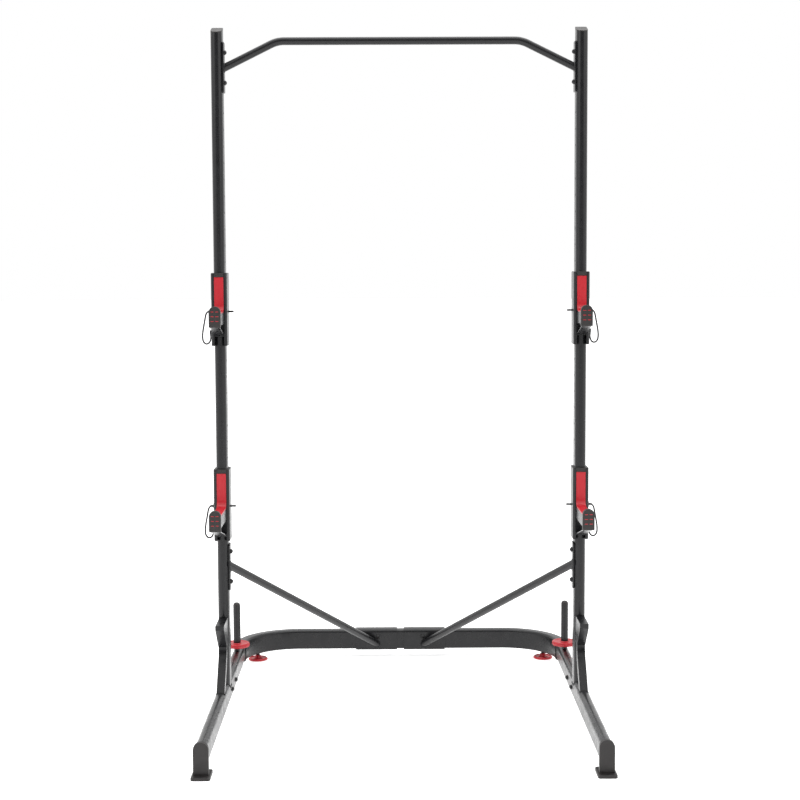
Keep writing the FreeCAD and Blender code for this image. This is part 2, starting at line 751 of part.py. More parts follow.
def arm_outline(reach, skin=0.0):
    """The side outline of a hook arm, moved inwards by skin."""
    back, lip, deep = arm_edges(reach)
    floor = -cradle_drop - liner_t
    if skin > 0:
        return outline([(back - skin, floor - skin), (lip + skin, floor - skin),
                        (lip + skin, skin - arm_low), (back - skin, deep + skin)])
    up = floor + liner_t + arm_lip_rise
    return outline([(back, floor), (lip + arm_lip_t, floor), (lip + arm_lip_t, up), (lip, up),
                    (lip, -arm_low), (back, deep)])


def arm_block(reach, skin=0.0):
    """The solid of a hook arm's side outline, moved inwards all round by skin."""
    wide = arm_w - 2 * skin
    return lay(arm_outline(reach, skin).extrude(Z * wide), Y, X, Vec(-wide / 2, 0, 0))


def arm(reach):
    """The hook arm: a channel beam with a lip, and a flat strap slanting back under a window."""
    back, lip, deep = arm_edges(reach)
    beam = -cradle_drop - liner_t - arm_beam
    near = lip + arm_lip_t + arm_web
    low = -arm_low - (near - lip) * arm_slope
    window = outline([(near, beam), (back, beam), (back, deep + arm_strap),
                      (near, low + arm_strap)])
    window = lay(window.extrude(Z * arm_w * 2), Y, X, Vec(-arm_w, 0, 0))
    return arm_block(reach).cut(arm_block(reach, arm_skin)).cut(window)


def liner(reach):
    """The red liner: up the front of the sleeve, round the cradle and along the arm."""
    y0 = sleeve_front_y + liner_t
    y1 = front - reach + tip_t - tip_cover + arm_lip_t
    top = sleeve_top - tab_h - liner_gap
    floor = -cradle_drop
    r = cradle_r
    face = outline([(y0, top), (y0, floor - liner_t, r + liner_t), (y1, floor - liner_t),
                    (y1, floor), (y0 - liner_t, floor, r), (y0 - liner_t, top, liner_round)])
    return lay(face.extrude(Z * liner_w), Y, X, Vec(-liner_w / 2, 0, 0))


def corner_block():
    """The steel fillet block under the liner's bend, part of the arm."""
    y0, floor, r = sleeve_front_y + liner_t, -cradle_drop - liner_t, cradle_r + liner_t
    square = box(Vec(-arm_w / 2, y0 - r, floor), Vec(arm_w / 2, y0, floor + r))
    round_cut = Part.makeCylinder(r, 100, Vec(-50, y0 - r, floor + r), X)
    return square.cut(round_cut)


def hook_arm(reach):
    """The arm with its corner block, welded to the sleeve's front."""
    return arm(reach).fuse(corner_block()).removeSplitter()


def tip(reach):
    """The black plastic tip over the arm's lip, with a round top."""
    y0 = front - reach
    face = d_face(tip_w, tip_low + tip_high, 3.0)
    block = lay(face.extrude(Z * tip_t), X, Y, Vec(0, y0, tip_high))
    block = block.makeFillet(edge_round, [e for e in block.Edges if e.BoundBox.YMax < y0 + 0.01])
    return block.cut(arm_block(reach)).cut(liner(reach))


def pin():
    """The locking pin, about z = 0: its head is on the outer side, at +X."""
    out = sleeve_w / 2
    shaft = rod(Vec(-out - pin_out, post_y, 0), Vec(out + pad_gap, post_y, 0), pin_d)
    shaft = shaft.makeChamfer(pin_point / 2, [e for e in shaft.Edges
                                              if e.BoundBox.XMax < -out - pin_out + 0.01])
    head = Part.makeCylinder(pin_head_d / 2, pin_head_t, Vec(out + pad_gap, post_y, 0), X)
    head = head.makeFillet(pin_round, [e for e in head.Edges if e.BoundBox.XMin > out + pin_head_t])
    eye = rod(Vec(out + pad_gap, post_y, 0), Vec(out + pin_eye, post_y, 0), pin_tab)
    return shaft.fuse([head, eye]).removeSplitter()


def anchor():
    """The small barrel on the sleeve's outer side that holds the lanyard's lower end."""
    low = Vec(sleeve_w / 2 + anchor_out, post_y, lanyard_low)
    lug = box(Vec(sleeve_w / 2, post_y - anchor_lug / 2, lanyard_low),
              Vec(sleeve_w / 2 + anchor_out, post_y + anchor_lug / 2, lanyard_low + anchor_l))
    return rod(low, low + Z * anchor_l, anchor_d).fuse(lug)


def lanyard_route():
    """The corners of the lanyard's centre line: out of the pin's eye, down in a loop, and back
    up into the barrel on the sleeve."""
    points = [(pin_eye, 0, 0), (13.5, 0, 0), (19.5, -1, -6.5), (22, -2, -18), (24.5, -3, -33),
              (27.4, -3.5, -48), (30, -3, -63), (31.5, -2, -78), (30, -1, -92),
              (22.5, 0, -101), (13.5, 0, -100), (7.8, 0, -93), (anchor_out + 0.5, 0, -84),
              (anchor_out + 0.2, 0.3, -77), (anchor_out, 0, lanyard_low - lanyard_gap)]
    return [Vec(sleeve_w / 2 + x, post_y + y, z) for x, y, z in points]


def lanyard():
    """The lanyard: a round cord along its route, straight runs joined by arcs."""
    points = lanyard_route()
    edges = []
    start = points[0]
    for i in range(1, len(points) - 1):
        a, b = points[i - 1] - points[i], points[i + 1] - points[i]
        turn = math.pi - a.getAngle(b)
        run = lanyard_run * min(a.Length, b.Length)
        r = run / math.tan(turn / 2)
        a.normalize()
        b.normalize()
        enter, leave = points[i] + a * run, points[i] + b * run
        middle = points[i] + (a + b).normalize() * (r / math.cos(turn / 2) - r)
        edges.append(Part.LineSegment(start, enter).toShape())
        edges.append(Part.Arc(enter, middle, leave).toShape())
        start = leave
    edges.append(Part.LineSegment(start, points[-1]).toShape())
    ring = Part.Wire(Part.makeCircle(lanyard_d / 2, points[0], points[1] - points[0]))
    return Part.Wire(edges).makePipeShell([ring], True, False)


# ---- writing the parts ---------------------------------------------------------------------
def save(name, shape):
    """Writes one part and reports its volume."""
    if not shape.isValid():
        print("NOT VALID", name)
    shape.exportStep("parts/" + name + ".step")
    print(name, len(shape.Solids), round(shape.Volume / 1000.0, 1))


def main():
    """Builds every part and writes it to parts/."""
    os.makedirs("parts", exist_ok=True)
    shared = {
        "post": post(), "post_cap": post_cap(), "front_foot": foot(), "rear_foot": rear_foot(),
        "foot_spigot": foot_spigot(), "foot_cap": foot_cap(),
        "knee_shelf": knee_shelf(), "knee_strut": knee_strut(), "plate_peg": peg(),
        "peg_disc": peg_disc(), "peg_cap": peg_cap(),
    }
    for name, shape in shared.items():
        for word, side in SIDES.items():
            save(name + "_" + word, at_post(shape, side))
    whole = {
        "base_tube": base_half(), "base_sleeve": base_sleeve(), "brace": brace(),
        "leveller_stem": level_stem(), "leveller_disc": level_disc(),
    }
    for name, shape in whole.items():
        for word, side in SIDES.items():
            save(name + "_" + word, mirror(shape, side))
    save("base_spigot", base_spigot())
    save("frame_screws", frame_screws())
    save("chin_up_bar", chin_bar())
    for level, reach, z in (("upper", hook_reach, hook_z), ("lower", catch_reach, catch_z)):
        steel = sleeve(reach).fuse([anchor(), hook_arm(reach)]).removeSplitter()
        pieces = {"carriage": steel, "bushes": bushes(reach),
                  "liner": liner(reach), "tip": tip(reach), "pin": pin(), "lanyard": lanyard()}
        for name, shape in pieces.items():
            shape = shape.copy()
            shape.translate(Z * z)
            for word, side in SIDES.items():
                save("_".join((level, name, word)), at_post(shape, side))


main()
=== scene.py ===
"""The half rack's visual model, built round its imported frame. Metres, in the frame's axes."""

import logging
import math
from dataclasses import dataclass, field
from enum import Enum
from typing import Iterable, Sequence

import bmesh
import bpy
from mathutils import Matrix, Vector


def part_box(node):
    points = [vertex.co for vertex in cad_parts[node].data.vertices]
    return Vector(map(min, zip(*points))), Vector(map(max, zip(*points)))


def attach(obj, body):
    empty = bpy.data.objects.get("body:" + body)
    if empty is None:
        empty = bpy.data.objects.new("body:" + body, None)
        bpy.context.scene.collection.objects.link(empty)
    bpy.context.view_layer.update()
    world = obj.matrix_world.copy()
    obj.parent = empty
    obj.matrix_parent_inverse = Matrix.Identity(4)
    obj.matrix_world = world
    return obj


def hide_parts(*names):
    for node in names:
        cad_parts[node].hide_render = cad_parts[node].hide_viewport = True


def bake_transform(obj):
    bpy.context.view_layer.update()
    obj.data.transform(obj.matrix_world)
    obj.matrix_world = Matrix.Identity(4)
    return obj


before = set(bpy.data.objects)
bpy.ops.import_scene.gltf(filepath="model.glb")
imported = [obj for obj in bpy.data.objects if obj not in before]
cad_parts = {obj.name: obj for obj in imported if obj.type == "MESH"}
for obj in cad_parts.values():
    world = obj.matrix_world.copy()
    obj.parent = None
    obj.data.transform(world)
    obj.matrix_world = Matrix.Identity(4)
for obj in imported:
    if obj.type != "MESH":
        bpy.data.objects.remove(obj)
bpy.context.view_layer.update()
LOG = logging.getLogger("half_rack")
MM = 0.001
AXIS_X, AXIS_Y, AXIS_Z = Vector((1, 0, 0)), Vector((0, 1, 0)), Vector((0, 0, 1))


class Side(Enum):
    """The two sides of the rack, with the sign of their X."""

    LEFT = -1
    RIGHT = 1

    @property
    def word(self) -> str:
        """The side's name as the frame spells it."""
        return self.name.lower()


class Level(Enum):
    """The two pairs of carriages, with the height of their pins and the reach of their arms."""

    UPPER = (1.2656, 0.146)
    LOWER = (0.656, 0.215)

    @property
    def word(self) -> str:
        """The level's name as the frame spells it."""
        return self.name.lower()

    @property
    def pin_z(self) -> float:
        """Height of the pin at rest."""
        return self.value[0]

    @property
    def reach(self) -> float:
        """From the post's front to the face of the arm's tip."""
        return self.value[1]


class Slot(Enum):
    """The record's material slots."""

    STEEL = "frame_steel"
    BLACK = "black_plastic"
    RED = "red_plastic"
    HARDWARE = "black_hardware"
    BARE = "bare_steel"
    CORD = "lanyard_cord"


@dataclass(frozen=True)
class RackSizes:
    """The frame's main places and sizes, in metres."""

    half: float = 0.560
    front: float = -0.0475
    tube_w: float = 0.035
    tube_d: float = 0.058
    foot_top: float = 0.097
    hole_first: float = 0.656
    hole_pitch: float = 0.0508
    hole_d: float = 0.007
    hole_count: int = 25
    plate_t: float = 0.005
    sleeve_w: float = 0.0496

    @property
    def post_y(self) -> float:
        """Y of the posts' middle."""
        return self.front + self.tube_d / 2

    @property
    def crown(self) -> float:
        """Radius of the tubes' round side."""
        return self.tube_w / 2

    @property
    def plate_face(self) -> float:
        """Distance from the middle of the rack to the free faces of the inner plates."""
        return self.half - self.tube_w / 2 - self.plate_t


RACK = RackSizes()


# ---- node trees ------------------------------------------------------------------------------
class NodeSheet:
    """A node tree that is filled one node at a time."""

    def __init__(self, tree: bpy.types.NodeTree) -> None:
        """Starts on a tree.

        Args:
            tree: the node tree to fill.
        """
        self.tree = tree

    def add(self, kind: str, inputs: dict[str | int, object] | None = None,
            **settings: object) -> bpy.types.Node:
        """Adds a node, sets it and links it.

        Args:
            kind: the node's type.
            inputs: for each input socket a value, or the output socket that feeds it.
            settings: the node's own properties.

        Returns:
            The new node.
        """
        node = self.tree.nodes.new(kind)
        for key, value in settings.items():
            setattr(node, key, value)
        for key, value in (inputs or {}).items():
            if isinstance(value, bpy.types.NodeSocket):
                self.tree.links.new(value, node.inputs[key])
            else:
                node.inputs[key].default_value = value
        return node

    def math(self, operation: str, first: object, second: object = 0.0) -> bpy.types.NodeSocket:
        """A Math node's result for two values or sockets."""
        return self.add("ShaderNodeMath", {0: first, 1: second}, operation=operation).outputs[0]


def material_sheet(name: str) -> tuple[bpy.types.Material, NodeSheet]:
    """A new material with an empty node tree.

    Args:
        name: the material's name.

    Returns:
        The material and its sheet.
    """
    material = bpy.data.materials.new(name)
    material.use_nodes = True
    material.node_tree.nodes.clear()
    return material, NodeSheet(material.node_tree)


@dataclass(frozen=True)
class Finish:
    """A finish whose tone, gloss and grain vary a little over the surface."""

    name: str
    colour: tuple[float, float, float]
    roughness: float
    tone_spread: float = 0.12
    gloss_spread: float = 0.05
    metallic: float = 0.0
    coat: float = 0.0
    grain_scale: float = 900.0
    grain_depth: float = 0.00012
    peel_scale: float = 220.0
    peel_depth: float = 0.00008
    cells: bool = False
    specular: float = 0.5

    def material(self) -> bpy.types.Material:
        """The finish's material, made at the first call."""
        known = bpy.data.materials.get(self.name)
        if known is not None:
            return known
        material, sheet = material_sheet(self.name)
        place = sheet.add("ShaderNodeTexCoord").outputs["Object"]
        broad = sheet.add("ShaderNodeTexNoise", {"Vector": place, "Scale": 5.0, "Detail": 4.0})
        tone = sheet.add("ShaderNodeValToRGB", {"Fac": broad.outputs["Fac"]})
        low, high = 1.0 - self.tone_spread, 1.0 + self.tone_spread
        tone.color_ramp.elements[0].position = 0.3
        tone.color_ramp.elements[1].position = 0.7
        tone.color_ramp.elements[0].color = (*[c * low for c in self.colour], 1)
        tone.color_ramp.elements[1].color = (*[c * high for c in self.colour], 1)
        smudge = sheet.add("ShaderNodeTexNoise", {"Vector": place, "Scale": 38.0, "Detail": 3.0})
        gloss = sheet.add("ShaderNodeMapRange", {
            "Value": smudge.outputs["Fac"], "From Min": 0.3, "From Max": 0.7,
            "To Min": self.roughness - self.gloss_spread,
            "To Max": self.roughness + self.gloss_spread})
        if self.cells:
            grain = sheet.add("ShaderNodeTexVoronoi", {"Vector": place, "Scale": self.grain_scale})
            height = grain.outputs["Distance"]
        else:
            grain = sheet.add("ShaderNodeTexNoise", {
                "Vector": place, "Scale": self.grain_scale, "Detail": 2.0})
            height = grain.outputs["Fac"]
        fine = sheet.add("ShaderNodeBump", {
            "Height": height, "Strength": 0.6, "Distance": self.grain_depth})
        peel = sheet.add("ShaderNodeTexNoise", {
            "Vector": place, "Scale": self.peel_scale, "Detail": 1.0})
        wavy = sheet.add("ShaderNodeBump", {
            "Height": peel.outputs["Fac"], "Strength": 0.5, "Distance": self.peel_depth,
            "Normal": fine.outputs["Normal"]})
        shader = sheet.add("ShaderNodeBsdfPrincipled", {
            "Base Color": tone.outputs["Color"], "Roughness": gloss.outputs["Result"],
            "Normal": wavy.outputs["Normal"], "Metallic": self.metallic,
            "Coat Weight": self.coat, "Coat Roughness": 0.25,
            "Specular IOR Level": self.specular})
        sheet.add("ShaderNodeOutputMaterial", {"Surface": shader.outputs["BSDF"]})
        return material


@dataclass(frozen=True)
class BraidedCord:
    """A braided cord's finish, which follows the piece's own UV map and paints shade into its
    grooves.
    """

    name: str = "Braided black cord"
    # dark is painted shade for the grooves between the strands; light is the strands' own colour
    dark: tuple[float, float, float] = (0.006, 0.006, 0.007)
    light: tuple[float, float, float] = (0.03, 0.03, 0.032)
    strands: float = 6.0
    depth: float = 0.0004

    def material(self) -> bpy.types.Material:
        """The cord's material, made at the first call."""
        known = bpy.data.materials.get(self.name)
        if known is not None:
            return known
        material, sheet = material_sheet(self.name)
        place = sheet.add("ShaderNodeUVMap", uv_map="Braid").outputs["UV"]
        split = sheet.add("ShaderNodeSeparateXYZ", {"Vector": place})
        turn = 2 * math.pi * self.strands
        waves = []
        for way in ("ADD", "SUBTRACT"):
            slant = sheet.math(way, split.outputs["X"], split.outputs["Y"])
            waves.append(sheet.math("SINE", sheet.math("MULTIPLY", slant, turn)))
        weave_and_groove_shade = sheet.math("MAXIMUM", waves[0], waves[1])
        # the braid's height also sets the colour, so its low grooves take the dark colour as
        # painted shade
        tone = sheet.add("ShaderNodeValToRGB", {"Fac": weave_and_groove_shade})
        tone.color_ramp.elements[0].color = (*self.dark, 1)
        tone.color_ramp.elements[1].color = (*self.light, 1)
        bump = sheet.add("ShaderNodeBump", {
            "Height": weave_and_groove_shade, "Strength": 0.7, "Distance": self.depth})
        shader = sheet.add("ShaderNodeBsdfPrincipled", {
            "Base Color": tone.outputs["Color"], "Roughness": 0.72,
            "Normal": bump.outputs["Normal"], "Sheen Weight": 0.2})
        sheet.add("ShaderNodeOutputMaterial", {"Surface": shader.outputs["BSDF"]})
        return material


POWDER_COAT = Finish("Charcoal powder coat", (0.0075, 0.0076, 0.0086), 0.29, coat=0.04,
                     specular=0.34)
BLACK_PLASTIC = Finish("Black moulded plastic", (0.013, 0.0108, 0.0105), 0.5, cells=True,
                       grain_scale=1100.0, gloss_spread=0.06)
RED_PLASTIC = Finish("Red moulded plastic", (0.43, 0.010, 0.019), 0.36, tone_spread=0.06,
                     cells=True, grain_scale=1400.0, grain_depth=0.00006)
HARDWARE = Finish("Black oxide hardware", (0.014, 0.014, 0.015), 0.34, metallic=0.35,
                  grain_scale=1600.0, grain_depth=0.00004)
BARE_STEEL = Finish("Zinc plated steel", (0.42, 0.42, 0.44), 0.32, metallic=1.0,
                    grain_scale=1500.0, grain_depth=0.00003)
CORD = BraidedCord()
FINISHES = {Slot.STEEL: POWDER_COAT, Slot.BLACK: BLACK_PLASTIC, Slot.RED: RED_PLASTIC,
            Slot.HARDWARE: HARDWARE, Slot.BARE: BARE_STEEL, Slot.CORD: CORD}


# ---- meshes ----------------------------------------------------------------------------------
def place_object(name: str, mesh: bpy.types.Mesh) -> bpy.types.Object:
    """An object at the origin, in the scene, that shows a mesh."""
    piece = bpy.data.objects.new(name, mesh)
    bpy.context.scene.collection.objects.link(piece)
    return piece


def mesh_of(name: str, points: Iterable[Sequence[float]], faces: Iterable[Sequence[int]] = (),
            edges: Iterable[Sequence[int]] = ()) -> bpy.types.Mesh:
    """A mesh from its points, faces and loose edges, with its faces turned outwards.

    Args:
        name: the mesh's name.
        points: the corners.
        faces: corner numbers of each face.
        edges: corner numbers of each loose edge.

    Returns:
        The mesh.
    """
    mesh = bpy.data.meshes.new(name)
    mesh.from_pydata([tuple(p) for p in points], list(edges), list(faces))
    if mesh.polygons:
        work = bmesh.new()
        work.from_mesh(mesh)
        bmesh.ops.recalc_face_normals(work, faces=work.faces)
        work.to_mesh(mesh)
        work.free()
    mesh.update()
    return mesh


def smooth(mesh: bpy.types.Mesh, angle: float = 32.0) -> None:
    """Shades a mesh smooth, and sharp where faces meet at more than an angle in degrees."""
    mesh.polygons.foreach_set("use_smooth", [True] * len(mesh.polygons))
    mesh.set_sharp_from_angle(angle=math.radians(angle))


def settle(piece: bpy.types.Object) -> bpy.types.Object:
    """Turns a piece's modifiers into its plain mesh."""
    graph = bpy.context.evaluated_depsgraph_get()
    mesh = bpy.data.meshes.new_from_object(
        piece.evaluated_get(graph), preserve_all_data_layers=True, depsgraph=graph)
    mesh.name = piece.name
    piece.modifiers.clear()
    piece.data = mesh
    return piece


def round_edges(piece: bpy.types.Object, width: float, segments: int = 2,
                angle: float = 40.0) -> bpy.types.Object:
    """Rounds a piece's sharp edges.

    Args:
        piece: the piece, whose mesh is changed.
        width: how far the rounding reaches from the edge.
        segments: faces across the rounding.
        angle: the least angle in degrees that counts as an edge.

    Returns:
        The piece.
    """
    bevel = piece.modifiers.new("Rounded edges", "BEVEL")
    bevel.width = width
    bevel.segments = segments
    bevel.limit_method = "ANGLE"
    bevel.angle_limit = math.radians(angle)
    bevel.harden_normals = True
    return settle(piece)


def declare(piece: bpy.types.Object, body: str, slot: Slot, *nodes: str) -> bpy.types.Object:
    """Finishes a piece: what it moves with and what it stands for.

    Args:
        piece: the finished piece.
        body: the frame's body that it moves with.
        slot: its material slot; not used.
        nodes: frame nodes that it replaces.

    Returns:
        The piece.
    """
    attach(piece, body)
    if nodes:
        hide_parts(*nodes)
    LOG.info("piece %s rides on %s, %d faces", piece.name, body, len(piece.data.polygons))
    return piece


def softened(node: str, name: str, body: str, slot: Slot, width: float = 0.0,
             flat_angle: float = 0.3) -> bpy.types.Object:
    """A copy of a frame node with its triangles merged, shaded smooth and its edges rounded.

    Args:
        node: the frame node that it replaces.
        name: the new piece's name.
        body: the body that it moves with.
        slot: its material slot.
        width: reach of the edges' rounding, or 0 for none.
        flat_angle: triangles nearer than this to one plane, in degrees, become one face.

    Returns:
        The piece.
    """
    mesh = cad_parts[node].data.copy()
    mesh.name = name
    work = bmesh.new()
    work.from_mesh(mesh)
    bmesh.ops.remove_doubles(work, verts=work.verts, dist=2e-6)
    bmesh.ops.dissolve_limit(work, angle_limit=math.radians(flat_angle), verts=work.verts,
                             edges=work.edges)
    work.to_mesh(mesh)
    work.free()
    if mesh.has_custom_normals:
        mesh.attributes.remove(mesh.attributes["custom_normal"])
    smooth(mesh)
    mesh.materials.clear()
    mesh.materials.append(FINISHES[slot].material())
    piece = place_object(name, mesh)
    if width > 0:
        round_edges(piece, width)
    return declare(piece, body, slot, node)


def lathe(profile: Sequence[tuple[float, ...]], steps: int = 48,
          ring: bool = False) -> tuple[list[Vector], list[list[int]]]:
    """A turned shape about Z.

    Args:
        profile: (radius, z) or (radius, z, 1) points; the 1 makes that ring a hexagon.
        steps: points round the axis.
        ring: whether the profile closes on itself, for a shape with a bore.

    Returns:
        The points and faces.
    """
    points, rows = [], []
    for r, z, *hexagon in profile:
        row = []
        for i in range(1 if r < 1e-9 else steps):
            turn = 2 * math.pi * i / steps
            sector = (turn % (math.pi / 3)) - math.pi / 6
            reach = r * math.cos(math.pi / 6) / math.cos(sector) if hexagon else r
            points.append(Vector((reach * math.cos(turn), reach * math.sin(turn), z)))
            row.append(len(points) - 1)
        rows.append(row)
    faces = []
    for a, b in zip(rows, rows[1:] + (rows[:1] if ring else [])):
        for i in range(steps):
            corners = [a[i % len(a)], a[(i + 1) % len(a)], b[(i + 1) % len(b)], b[i % len(b)]]
            kept = list(dict.fromkeys(corners))
            if len(kept) > 2:
                faces.append(kept)
    return points, faces


def turned_piece(name: str, profile: Sequence[tuple[float, ...]], at: Vector, slot: Slot,
                 axis: Vector = AXIS_Z, steps: int = 64, ring: bool = False) -> bpy.types.Object:
    """A turned piece on an axis.

    Args:
        name: the piece's name.
        profile: the lathe's profile.
        at: where the profile's z = 0 stands.
        slot: its material slot.
        axis: the direction of the profile's z.
        steps: points round the axis.
        ring: whether the profile closes on itself.

    Returns:
        The piece, not yet declared.
    """
    points, faces = lathe(profile, steps, ring)
    turn = AXIS_Z.rotation_difference(axis).to_matrix()
    mesh = mesh_of(name, [turn @ p + at for p in points], faces)
    smooth(mesh, 28.0)
    mesh.materials.append(FINISHES[slot].material())
    return place_object(name, mesh)


def round_rectangle(width: float, height: float, corner: float, steps: int = 6) -> list[Vector]:
    """The outline of a rounded rectangle in XY about the origin."""
    outline = []
    for quarter in range(4):
        sx, sy = ((1, 1), (-1, 1), (-1, -1), (1, -1))[quarter]
        for i in range(steps + 1):
            turn = math.pi / 2 * (quarter + i / steps)
            outline.append(Vector((sx * (width / 2 - corner) + corner * math.cos(turn),
                                   sy * (height / 2 - corner) + corner * math.sin(turn), 0)))
    return outline


def slab(outline: Sequence[Vector], thickness: float,
         matrix: Matrix) -> tuple[list[Vector], list[list[int]]]:
    """A flat plate: an outline in XY raised along Z, then placed by a matrix."""
    n = len(outline)
    points = [matrix @ p for p in outline]
    points += [matrix @ (p + AXIS_Z * thickness) for p in outline]
    faces = [list(range(n))[::-1], list(range(n, 2 * n))]
    faces += [[i, (i + 1) % n, n + (i + 1) % n, n + i] for i in range(n)]
    return points, faces


def frame_axes(x_axis: Vector, z_axis: Vector, at: Vector) -> Matrix:
    """The matrix that lays X and Z along two directions at a point."""
    y_axis = z_axis.cross(x_axis)
    turn = Matrix((x_axis, y_axis, z_axis)).transposed()
    return Matrix.Translation(at) @ turn.to_4x4()


def joined(parts: Iterable[tuple[list[Vector], list[list[int]]]]
           ) -> tuple[list[Vector], list[list[int]]]:
    """Several shapes' points and faces as one."""
    points: list[Vector] = []
    faces: list[list[int]] = []
    for more, sides in parts:
        start = len(points)
        points += more
        faces += [[start + i for i in side] for side in sides]
    return points, faces


# ---- geometry trees --------------------------------------------------------------------------
class GeometryTree:
    """A Geometry Nodes tree with named inputs, run once on a piece and then turned to a mesh."""

    name = "tree"
    inputs: dict[str, str] = {}

    def __init__(self) -> None:
        """Builds the tree with a Geometry input and output and the class's own inputs."""
        self.tree = bpy.data.node_groups.new(self.name, "GeometryNodeTree")
        self.sheet = NodeSheet(self.tree)
        self.keys = {}
        for label, kind in {"Geometry": "Geometry", **self.inputs, "Finish": "Material"}.items():
            socket = self.tree.interface.new_socket(
                label, in_out="INPUT", socket_type="NodeSocket" + kind)
            self.keys[label] = socket.identifier
        self.tree.interface.new_socket(
            "Geometry", in_out="OUTPUT", socket_type="NodeSocketGeometry")
        self.given = self.sheet.add("NodeGroupInput").outputs
        made = self.build()
        whole = self.sheet.add("GeometryNodeRealizeInstances", {"Geometry": made})
        dressed = self.sheet.add("GeometryNodeSetMaterial", {
            "Geometry": whole.outputs[0], "Material": self.given["Finish"]})
        self.sheet.add("NodeGroupOutput", {0: dressed.outputs[0]})

    def build(self) -> bpy.types.NodeSocket:
        """The tree's own nodes.

        Returns:
            The geometry that is dressed and handed out.
        """
        raise NotImplementedError

    def run(self, name: str, base: bpy.types.Mesh, slot: Slot,
            **values: object) -> bpy.types.Object:
        """Runs the tree on a base mesh.

        Args:
            name: the piece's name.
            base: the mesh that the tree starts from.
            slot: the material slot whose finish it takes.
            values: the tree's inputs, with an underscore for each space.

        Returns:
            The piece with a plain mesh, not yet declared.
        """
        piece = place_object(name, base)
        modifier = piece.modifiers.new("Build", "NODES")
        modifier.node_group = self.tree
        modifier[self.keys["Finish"]] = FINISHES[slot].material()
        for key, value in values.items():
            modifier[self.keys[key.replace("_", " ")]] = value
        settle(piece)
        smooth(piece.data)
        return piece


class FacingTree(GeometryTree):
    """Puts a pattern on every point, with its Z along the point's facing direction."""

    name = "Pattern on points"
    inputs = {"Pattern": "Object", "Size": "Float"}

    def build(self) -> bpy.types.NodeSocket:
        """Instances of the pattern on the points."""
        add = self.sheet.add
        pattern = add("GeometryNodeObjectInfo", {"Object": self.given["Pattern"]})
        facing = add("GeometryNodeInputNamedAttribute", {"Name": "facing"},
                     data_type="FLOAT_VECTOR")
        turned = add("FunctionNodeAlignRotationToVector",
                     {"Vector": facing.outputs["Attribute"]}, axis="Z")
        placed = add("GeometryNodeInstanceOnPoints", {
            "Points": self.given["Geometry"], "Instance": pattern.outputs["Geometry"],
            "Rotation": turned.outputs["Rotation"], "Scale": self.given["Size"]})
        return placed.outputs["Instances"]

    def scatter(self, name: str, places: Sequence[tuple[Vector, Vector]],
                pattern: tuple[list[Vector], list[list[int]]], slot: Slot,
                size: float = 1.0) -> bpy.types.Object:
        """One pattern at each place.

        Args:
            name: the piece's name.
            places: a point and a facing direction for each.
            pattern: the pattern's points and faces about the origin, facing +Z.
            slot: the material slot.
            size: the pattern's scale.

        Returns:
            The piece, not yet declared.
        """
        base = mesh_of(name, [p for p, _ in places])
        facing = base.attributes.new("facing", "FLOAT_VECTOR", "POINT")
        facing.data.foreach_set("vector", [c for _, way in places for c in way])
        shape = place_object(name + "_pattern", mesh_of(name + "_pattern", *pattern))
        piece = self.run(name, base, slot, Pattern=shape, Size=size)
        bpy.data.objects.remove(shape)
        return piece


class RowTree(GeometryTree):
    """Repeats the given shape at an even step, as often as asked."""

    name = "Even row"
    inputs = {"Count": "Int", "Step": "Vector"}

    def build(self) -> bpy.types.NodeSocket:
        """A line of points with the shape on each."""
        add = self.sheet.add
        line = add("GeometryNodeMeshLine", {"Count": self.given["Count"],
                                            "Offset": self.given["Step"]}, mode="OFFSET")
        placed = add("GeometryNodeInstanceOnPoints", {
            "Points": line.outputs["Mesh"], "Instance": self.given["Geometry"]})
        return placed.outputs["Instances"]


class WheelTree(GeometryTree):
    """Repeats the given shape round Z, as often as asked."""

    name = "Round a centre"
    inputs = {"Count": "Int", "Centre": "Vector"}

    def build(self) -> bpy.types.NodeSocket:
        """Copies of the shape, each turned further about the centre."""
        add = self.sheet.add
        points = add("GeometryNodePoints", {"Count": self.given["Count"],
                                            "Position": self.given["Centre"]})
        index = add("GeometryNodeInputIndex").outputs[0]
        share = self.sheet.math("DIVIDE", index, self.given["Count"])
        turn = self.sheet.math("MULTIPLY", share, 2 * math.pi)
        angles = add("ShaderNodeCombineXYZ", {"Z": turn})
        placed = add("GeometryNodeInstanceOnPoints", {
            "Points": points.outputs[0], "Instance": self.given["Geometry"],
            "Rotation": angles.outputs[0]})
        return placed.outputs["Instances"]


